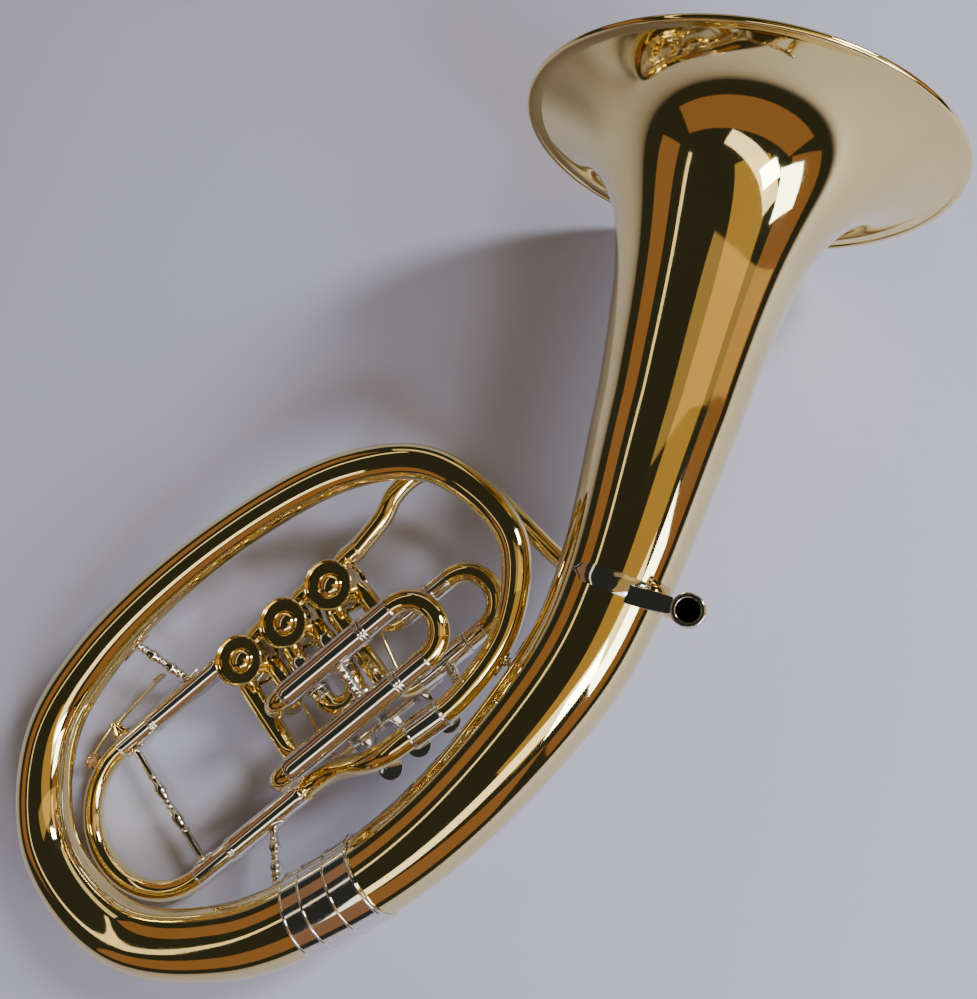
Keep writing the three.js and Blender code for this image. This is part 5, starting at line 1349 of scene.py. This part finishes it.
def disc(centre, axis, radius, thickness, dome=0.0, sides=40):
    """A round plate with softened edges; dome lifts the middle of its top."""
    centre, axis = Vector(centre), Vector(axis).normalized()
    line = straight(centre - axis * thickness / 2, centre + axis * thickness / 2)
    soft = min(0.35, thickness / 3)
    profile = [(0, 0), (0, radius - soft), (soft * 0.3, radius - soft * 0.3), (soft, radius)]
    profile += [(thickness - soft, radius), (thickness - soft * 0.3, radius - soft * 0.3)]
    for k in range(7):
        share = (1 - soft / radius) * (1 - k / 6)
        profile.append((thickness + dome * (1 - share**2), radius * share))
    profile[-1] = (thickness + dome, 0)
    return turn_along(line, profile, sides, hollow=False, step=50)


print("straps and discs, with edges broken by 0.4 mm or less")

# %% The arm of the saddle
arm_z = RECEIVER_TOP - 4
arm = strap(
    [(x, receiver_y, arm_z) for x in (8.5, 18, 24, receiver_x - 8.5)],
    (0, 1, 0), [9.6, 10, 9.8, 8.8], [3.2, 3.4, 3.4, 3.6],
)
add_piece(
    "receiver_saddle_bent", together(saddle_plate, arm), body_board,
    "horn_frame", "nickel_silver", "receiver_saddle",
)
print("saddle under the receiver")

# %% [markdown]
# ## The valve levers
#
# Three levers turn on one steel rod. Pressing a finger plate rocks the lever, its short crank pulls a
# link, and the link turns the stop arm on the rotor's stem by a quarter turn. Every one of these
# pieces rides on its own body, so they are made one by one and not as a single casting.

# %% The rod and its brackets
rod_y, rod_z = -78, PORT_Z - 13
BARREL_RADIUS, BARREL_BORE = 3.6, 2.15
rod_line = straight((-47, rod_y, rod_z), (52, rod_y, rod_z))
rod_end = rod_line.length
rod_profile = [(0, 0), (0, 1.7), (0.3, 2), (rod_end - 0.3, 2), (rod_end, 1.7), (rod_end, 0)]
add_piece(
    "hinge_rod_turned", turn_along(rod_line, rod_profile, 28, hollow=False), valve_board,
    "horn_frame", "steel", "hinge_rod",
)


def round_barrel(start, end, y, z, radius, bore, sides=36):
    """A short tube along the row with softened ends."""
    line = straight((start, y, z), (end, y, z))
    long, soft = end - start, 0.3
    profile = [
        (0, bore), (0, radius - soft), (soft, radius),
        (long - soft, radius), (long, radius - soft), (long, bore),
    ]
    return turn_along(line, profile, sides)


def outlet_at(x, halvings=30):
    """The length along the outlet line at a place along the row."""
    low, high = 0.0, outlet_line.length
    for _ in range(halvings):
        middle = (low + high) / 2
        if outlet_line.at(middle)[0].x < x:
            low = middle
        else:
            high = middle
    return low


far_line = straight((28, -75, PORT_Z), (68, -75, PORT_Z))
for name, x, line, length, radius_at in (
    ("rod_bracket_left", -43.7, outlet_line, outlet_at(-43.7), even(TUBE)),
    ("rod_bracket_middle", 0, outlet_line, outlet_at(0), outlet_radius),
    ("rod_bracket_right", 48.5, far_line, 20.5, sleeve_radius),
):
    centre = line.at(length)[0]
    axis_at = Vector((x, rod_y, rod_z))
    way = axis_at - centre
    way.x = 0
    way.normalize()
    seat = centre + way * radius_at(length)
    head = axis_at - way * 3.1
    works = [
        round_barrel(x - 2.2, x + 2.2, rod_y, rod_z, BARREL_RADIUS, BARREL_BORE),
        strap([seat, seat.lerp(head, 0.5), head], (1, 0, 0), [4.2, 3, 3.4], [3.6, 2.6, 2.8]),
        foot_on(line, length, radius_at, way, 9, FOOT_WIDTH),
    ]
    add_piece(f"{name}_filed", together(*works), valve_board, "horn_frame", "nickel_silver", name)
print("rod and three brackets")

# %% The levers with their finger plates and cranks
CRANK = 16  # from the rod to the crank's tip
CRANK_RADIUS = 6  # from the rotor's axis to the stop arm's pin
half_swing = math.asin(CRANK_RADIUS * math.sin(math.pi / 4) / CRANK)
tip_y = rod_y + CRANK * math.sin(half_swing)
tip_z = rod_z - CRANK * math.cos(half_swing)
PAD_Y = -100
PAD_Z = rod_z - 7
PAD_RADIUS = 7.8
STRAP_LIFT = 2.5
# along the row: where the barrel starts and ends, the finger plate and the crank
levers = {
    1: (20.9, 45.8, 37, 22.6),
    2: (2.6, 20.5, 14, 4),
    3: (-41, -2.6, -8, -39),
}

for number, (start, end, pad, crank) in levers.items():
    root = Vector((pad, rod_y, rod_z + STRAP_LIFT))
    plate_at = Vector((pad, PAD_Y, PAD_Z))
    tip = Vector((crank, tip_y, tip_z))
    crank_root = Vector((crank, rod_y, rod_z)).lerp(tip, 2.8 / CRANK)
    works = [
        round_barrel(start, end, rod_y, rod_z, BARREL_RADIUS, BARREL_BORE),
        strap(
            [root, root.lerp(plate_at, 0.3), root.lerp(plate_at, 0.65), plate_at],
            (1, 0, 0), [5.4, 4.4, 4.2, 6.5], [2.2, 2.0, 1.8, 1.6],
        ),
        disc(plate_at, (0, 0, -1), PAD_RADIUS, 1.9, 0.7),
        strap([crank_root, crank_root.lerp(tip, 0.5), tip], (1, 0, 0), [2.6, 2.6, 2.6], [5.4, 4.2, 4.6]),
        disc(tip, (1, 0, 0), 3.2, 2.6, sides=28),
        disc(tip + Vector((2.3, 0, 0)), (1, 0, 0), 1.2, 4.6, sides=20),
        disc(tip + Vector((4.9, 0, 0)), (1, 0, 0), 2.3, 1.0, 0.25, sides=24),
    ]
    for ring_x in (start + 1.6, end - 1.6):
        works.append(round_barrel(ring_x - 0.6, ring_x + 0.6, rod_y, rod_z, 3.95, 3.4))
    add_piece(
        f"lever_{number}_forged", together(*works), valve_board,
        f"lever_arm_{number}", "nickel_silver", f"lever_{number}",
    )
print("three levers with a swing of", round(math.degrees(2 * half_swing), 1), "degrees")

# %% [markdown]
# The link is a brass wire with an eye at the crank and a slotted plate at the stop arm. The arm's pin
# moves on a circle while the link moves nearly straight, and the slot takes up the difference.

# %% The links
PIN_ANGLE = math.pi / 4
PIN_SWEEP = CRANK_RADIUS * (1 - math.cos(PIN_ANGLE)) / 2
SLOT_Y = 1.4
SLOT_X = PIN_SWEEP + SLOT_Y
WIRE_EASE = Vector((0, 12.8, 0))
SLOT_POINTS = 24


def slotted_plate(centre, thickness, rim=1.6):
    """A plate with round ends and a slot of the same shape."""
    work = bmesh.new()

    def racetrack(radius, run, z):
        ring = []
        for k in range(SLOT_POINTS):
            angle = 2 * math.pi * (k + 0.5) / SLOT_POINTS
            shift = run if math.cos(angle) > 0 else -run
            place = Vector((shift + radius * math.cos(angle), radius * math.sin(angle), z))
            ring.append(work.verts.new(centre + place))
        return ring

    half, run = thickness / 2, SLOT_X - SLOT_Y
    outer, soft = SLOT_Y + rim, 0.25
    section = [
        (SLOT_Y, half), (outer - soft, half), (outer, half - soft),
        (outer, soft - half), (outer - soft, -half), (SLOT_Y, -half),
    ]
    loops = [racetrack(radius, run, z) for radius, z in section]
    for ring, after in zip(loops, [*loops[1:], loops[0]]):
        for k in range(SLOT_POINTS):
            n = (k + 1) % SLOT_POINTS
            work.faces.new((ring[k], ring[n], after[n], after[k]))
    return work


def make_link(number, crank):
    slot_way = Vector((CRANK_RADIUS - PIN_SWEEP, CRANK_RADIUS * math.sin(PIN_ANGLE), arm_bottom - 3.05))
    middle = valve_axis(number) + slot_way
    eye_x = crank + 2.6
    wire_start = middle + Vector((0, -SLOT_Y - 1.2, 0))
    wire_end = Vector((eye_x, tip_y + 2.9, tip_z))
    wire = CentreLine(swung(wire_start, wire_start - WIRE_EASE, wire_end + WIRE_EASE, wire_end, 30))
    long = wire.length
    works = [
        slotted_plate(middle, 2),
        turn_along(wire, [(0, 0), (0, 1.2), (long, 1.2), (long, 0)], 20, hollow=False, step=1.5),
        round_barrel(eye_x - 1, eye_x + 1, tip_y, tip_z, 3.2, 1.35, 28),
    ]
    add_piece(
        f"link_{number}_bent", together(*works), valve_board,
        f"link_arm_{number}", "lacquered_brass", f"link_{number}",
    )


print("a link's slot is", round(2 * SLOT_X, 1), "mm long")

# %% [markdown]
# Each stop arm sits on the stem of its rotor. One end carries the pin of the link, and the round lobe
# at the other end lands on the corks. It is a hub, two bosses and a waisted bar filed from one piece.

# %% Links and stop arms, valve by valve
def make_stop_arm(number):
    axis = valve_axis(number)
    pin_way = Vector((CRANK_RADIUS * math.cos(PIN_ANGLE), CRANK_RADIUS * math.sin(PIN_ANGLE), 0))
    pin_at = axis + pin_way
    lobe_at = axis - Vector((1, 1, 0)).normalized() * LOBE_REACH
    arm_middle = (arm_top + arm_bottom) / 2
    hub = soften([(3.05, arm_bottom), (4.9, arm_bottom), (4.9, arm_top), (3.05, arm_top)], 0.4)
    lift = Vector((0, 0, arm_middle))
    works = [
        valve_lathe(number, hub, 40),
        disc(lobe_at + lift, (0, 0, -1), LOBE_RADIUS, 3, sides=28),
        strap(
            [axis + lift + (lobe_at - axis) * share for share in (0.45, 0.7, 1)],
            (1, -1, 0), [5, 3.4, 3.6], [2.6, 2.6, 2.6],
        ),
        disc(pin_at + lift, (0, 0, -1), LOBE_RADIUS, 3, sides=28),
        disc(pin_at + Vector((0, 0, arm_bottom - 3.3)), (0, 0, -1), 1.1, 7.2, sides=20),
        disc(pin_at + Vector((0, 0, arm_bottom - 6.6)), (0, 0, -1), 2.0, 0.9, 0.2, sides=24),
    ]
    add_piece(
        f"stop_arm_{number}_filed", together(*works), valve_board,
        f"valve_rotor_{number}", "steel", f"stop_arm_{number}",
    )


for number, (_, _, _, crank) in levers.items():
    make_link(number, crank)
    make_stop_arm(number)
print("three links and three stop arms")

# %% [markdown]
# A return spring is a hard steel wire wound three times round the lever's barrel. One tail rests
# against the tube behind it, the other presses the strap. When the lever moves, the coils twist; here
# the spring is made in its resting place and put on neither body.

# %% Return springs
WIRE = 0.45
SPRING_RADIUS = BARREL_RADIUS + FIT + WIRE
SPRING_PITCH = 1.5
CURLS = 3
CURL_POINTS = 24
TAIL = 9

for number, (_, _, pad, _) in levers.items():
    end_x = pad - 2.5 - WIRE - FIT
    start_x = end_x - CURLS * SPRING_PITCH
    coil = []
    for k in range(CURLS * CURL_POINTS + 1):
        angle = math.pi / 2 + 2 * math.pi * k / CURL_POINTS
        across, high = SPRING_RADIUS * math.cos(angle), SPRING_RADIUS * math.sin(angle)
        coil.append(Vector((start_x + SPRING_PITCH * k / CURL_POINTS, rod_y + across, rod_z + high)))
    first_way = (coil[0] - coil[1]).normalized()
    last_way = (coil[-1] - coil[-2]).normalized()
    leave = coil[-1] + last_way * 0.9
    strap_way = (Vector((0, PAD_Y, PAD_Z)) - Vector((0, rod_y, rod_z + STRAP_LIFT))).normalized()
    rest = leave + strap_way * TAIL
    rest.x = pad
    knee = leave + (rest - leave).normalized() * 0.6
    spring_line = CentreLine([coil[0] + first_way * TAIL, *coil, leave, knee, rest])
    long = spring_line.length
    section = [
        (0, 0), (0, WIRE * 0.8), (0.1, WIRE), (long - 0.1, WIRE), (long, WIRE * 0.8), (long, 0),
    ]
    spring = turn_along(spring_line, section, 10, hollow=False, step=0.6)
    spring.transform(valve_board)
    piece = smooth_piece(f"lever_spring_{number}_wound", spring, "steel")
    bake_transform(piece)
    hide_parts(f"lever_spring_{number}")
print("three springs of", CURLS, "curls")

# %% [markdown]
# ## The water key
#
# Breath turns to water in the horn, and a small key on the crook lets it out. It is a seesaw: a
# finger plate at one end, a cork pad over a nipple at the other, and a saddle with two lugs between.

# %% The nipple and the key's saddle
HINGE = Vector((-130, UPPER_Y + TUBE + 8, PORT_Z))
PAD_ANGLE = math.radians(112)
PAD_WAY = Vector((math.cos(PAD_ANGLE), math.sin(PAD_ANGLE), 0))
CROOK_RADIUS = 46
crook_middle = Vector((CROOK_X, (UPPER_Y + LOWER_Y) / 2, PORT_Z))
nipple_top = crook_middle + PAD_WAY * (CROOK_RADIUS + TUBE + 1.6)
nipple_line = straight(crook_middle + PAD_WAY * (CROOK_RADIUS + TUBE - 0.8), nipple_top)
long = nipple_line.length
nipple_profile = [(0, 3.4), (long - 0.9, 3.0), (long - 0.3, 3.0), (long, 2.7), (long, 1.6), (0, 1.6)]
add_piece(
    "water_nipple_turned", turn_along(nipple_line, nipple_profile, 28), valve_board,
    "tuning_slide", "lacquered_brass", "tuning_crook",
)
lug_root = UPPER_Y + TUBE + 1.25
key_line = straight((HINGE.x - 20, UPPER_Y, PORT_Z), (HINGE.x + 20, UPPER_Y, PORT_Z))
works = [foot_on(key_line, 20, collar_radius, WINDWAY, 14, FOOT_WIDTH)]
for side in (-1, 1):
    z = PORT_Z + side * 2.7
    works.append(
        strap(
            [(HINGE.x, lug_root, z), (HINGE.x, HINGE.y - 2, z), (HINGE.x, HINGE.y + 1.5, z)],
            (1, 0, 0), [6.5, 4, 3.2], [1.6, 1.6, 1.6],
        )
    )
works.append(disc(HINGE, (0, 0, 1), 1.0, 8.2, sides=20))
works.append(disc(HINGE + Vector((0, 0, 4.0)), (0, 0, 1), 1.9, 0.9, 0.3, sides=24))
add_piece(
    "water_key_saddle_filed", together(*works), valve_board,
    "tuning_slide", "lacquered_brass", "water_key_saddle",
)
print("nipple and saddle on the crook")

# %% The key and its cork pad
pad_foot = nipple_top + PAD_WAY * FIT
pad_top = pad_foot + PAD_WAY * 4
finger = Vector((HINGE.x + 40, UPPER_Y + TUBE + 13, PORT_Z))
turn_line = straight(HINGE - Vector((0, 0, 1.6)), HINGE + Vector((0, 0, 1.6)))
works = [
    turn_along(turn_line, [(0, 1.15), (0, 2.5), (0.3, 2.8), (2.9, 2.8), (3.2, 2.5), (3.2, 1.15)], 28),
    strap(
        [HINGE + Vector((2.4, 0, 0)), HINGE.lerp(finger, 0.4), HINGE.lerp(finger, 0.75), finger],
        (0, 0, 1), [3.2, 3.0, 3.4, 6], [1.6, 1.5, 1.4, 1.4],
    ),
    disc(finger, (0, 1, 0), 4.3, 1.5, 0.5, sides=32),
    strap(
        [
            HINGE + Vector((-2, 0.6, 0)),
            HINGE.lerp(pad_top, 0.5) + Vector((0, 0.8, 0)),
            pad_top - PAD_WAY * 0.7,
        ],
        (0, 0, 1), [3.2, 3.4, 5], [1.6, 1.6, 1.4],
    ),
    disc(pad_top - PAD_WAY * 1.2, PAD_WAY, 5.4, 2.0, 0.6, sides=36),
]
cork_pad = disc(pad_foot + PAD_WAY * 0.9, PAD_WAY, 4.9, 1.8, 0.0, sides=32)
add_piece("water_key_pad_cut", cork_pad, valve_board, "water_key_arm", "cork", "water_key")
add_piece(
    "water_key_filed", together(*works), valve_board, "water_key_arm", "lacquered_brass", "water_key"
)
print("water key on the crook")

# %% [markdown]
# ## The rotors
#
# The rotors are hidden in their casings, and only their stems show from behind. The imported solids
# have the right shape, so they stay and only get the metal that such a rotor is turned from.

# %% Rotors keep their solids
for number in (1, 2, 3):
    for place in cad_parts[f"rotor_{number}"].material_slots:
        place.material = FINISHES["steel"]
print("rotors keep their own shape")

# %% [markdown]
# ## Floor, light and camera
#
# Polished metal shows the room and not itself, so the light is the picture. A small bright window
# gives the sharp sparks and the shadow. Wide dim panels stand in for a warm room: golden ones above
# to the right, whose reflection runs down the bell as a broad band, brown ones low on all sides, which
# line the tubes, and a pale one in front, which draws the white line on each slide. Two cool ones
# keep the floor's shadows from going brown. The dark between the panels leaves the deep bands that
# make brass look like brass. The floor is plain and pale.

# %% A plain pale floor
floor_mesh = bmesh.new()
bmesh.ops.create_grid(floor_mesh, x_segments=2, y_segments=2, size=3)
floor_data = bpy.data.meshes.new("floor")
floor_mesh.to_mesh(floor_data)
floor_mesh.free()
floor_paint = bpy.data.materials.new("pale_floor")
floor_paint.use_nodes = True
paint = floor_paint.node_tree.nodes["Principled BSDF"]
paint.inputs["Base Color"].default_value = (0.50, 0.49, 0.61, 1)
paint.inputs["Roughness"].default_value = 0.85
floor_data.materials.append(floor_paint)
floor = put_in_scene("floor", floor_data)
floor.location = (0, 0, -0.00112)
print("floor laid")


# %% Twelve soft lights in a dim room
def softbox(name, place, aim, width, height, power, colour):
    """A glowing panel that looks from its place towards its aim."""
    light = bpy.data.lights.new(name, "AREA")
    light.shape = "RECTANGLE"
    light.size, light.size_y = width, height
    light.energy = power
    light.color = colour
    box = put_in_scene(name, light)
    box.location = place
    box.rotation_euler = (Vector(aim) - Vector(place)).to_track_quat("-Z", "Y").to_euler()


softbox("window", (1.20, 1.10, 1.55), (0, 0, 0), 0.40, 0.60, 36, (0.92, 0.96, 1.0))
softbox("ceiling_right", (0.95, -0.40, 1.75), (0.1, -0.1, 0), 2.10, 1.10, 3.4, (1.0, 0.62, 0.15))
softbox("ceiling_seam", (1.25, 0.30, 1.55), (0, 0, 0), 0.55, 3.4, 2.2, (1.0, 0.70, 0.28))
softbox("wall_right", (2.1, -0.1, 0.80), (0, 0, 0.1), 3.4, 0.95, 2.6, (1.0, 0.44, 0.17))
softbox("panel_right", (1.9, 0.9, 1.35), (0, 0, 0.1), 1.2, 0.30, 1.6, (1.0, 0.62, 0.28))
softbox("wall_left", (-1.9, 0.1, 0.95), (0, 0, 0.1), 3.2, 0.75, 2.0, (1.0, 0.44, 0.17))
softbox("strip_left", (-1.50, 0.1, 1.75), (0, 0, 0), 3.2, 0.14, 2.2, (1.0, 0.86, 0.62))
softbox("wall_front", (0.1, -1.9, 0.85), (0, 0, 0.1), 3.2, 0.90, 2.4, (1.0, 0.44, 0.17))
softbox("ceiling_front", (0.75, -1.15, 1.55), (0, 0, 0), 2.4, 0.46, 8.0, (1.0, 0.93, 0.78))
softbox("wall_back", (-0.2, 2.1, 1.15), (0, 0, 0), 2.8, 0.50, 4.0, (1.0, 0.86, 0.62))
softbox("sky_fill", (1.20, -1.00, 1.50), (0.2, 0, 0), 0.5, 0.5, 17, (0.70, 0.82, 1.0))
softbox("low_window", (1.30, -0.45, 0.80), (0.2, 0, 0), 0.7, 0.45, 12, (0.70, 0.82, 1.0))
room = bpy.data.worlds.new("dim_warm_room")
room.use_nodes = True
room.node_tree.nodes["Background"].inputs["Color"].default_value = (0.030, 0.032, 0.028, 1)
room.node_tree.nodes["Background"].inputs["Strength"].default_value = 1.0
bpy.context.scene.world = room
print("twelve soft lights")

# %% The camera, above the horn and a little to the player's side
camera_data = bpy.data.cameras.new("camera")
camera_data.sensor_fit = "HORIZONTAL"
camera_data.sensor_width = 36
camera_data.lens = 36.074
camera_data.clip_start = 0.05
camera = put_in_scene("camera", camera_data)
camera_right = Vector((0.9560, 0.2802, -0.0866))
camera_up = Vector((-0.2542, 0.9392, 0.2321))
camera_back = Vector((0.1463, -0.1999, 0.9691))
camera_turn = Matrix((camera_right, camera_up, camera_back)).transposed().to_4x4()
camera.matrix_world = Matrix.Translation((0.0967, -0.0726, 0.6113)) @ camera_turn
bpy.context.scene.camera = camera
print("camera", round(camera.location.z, 3), "m above the floor")

# %% How many pieces were made
print(len(pieces_made), "pieces made")
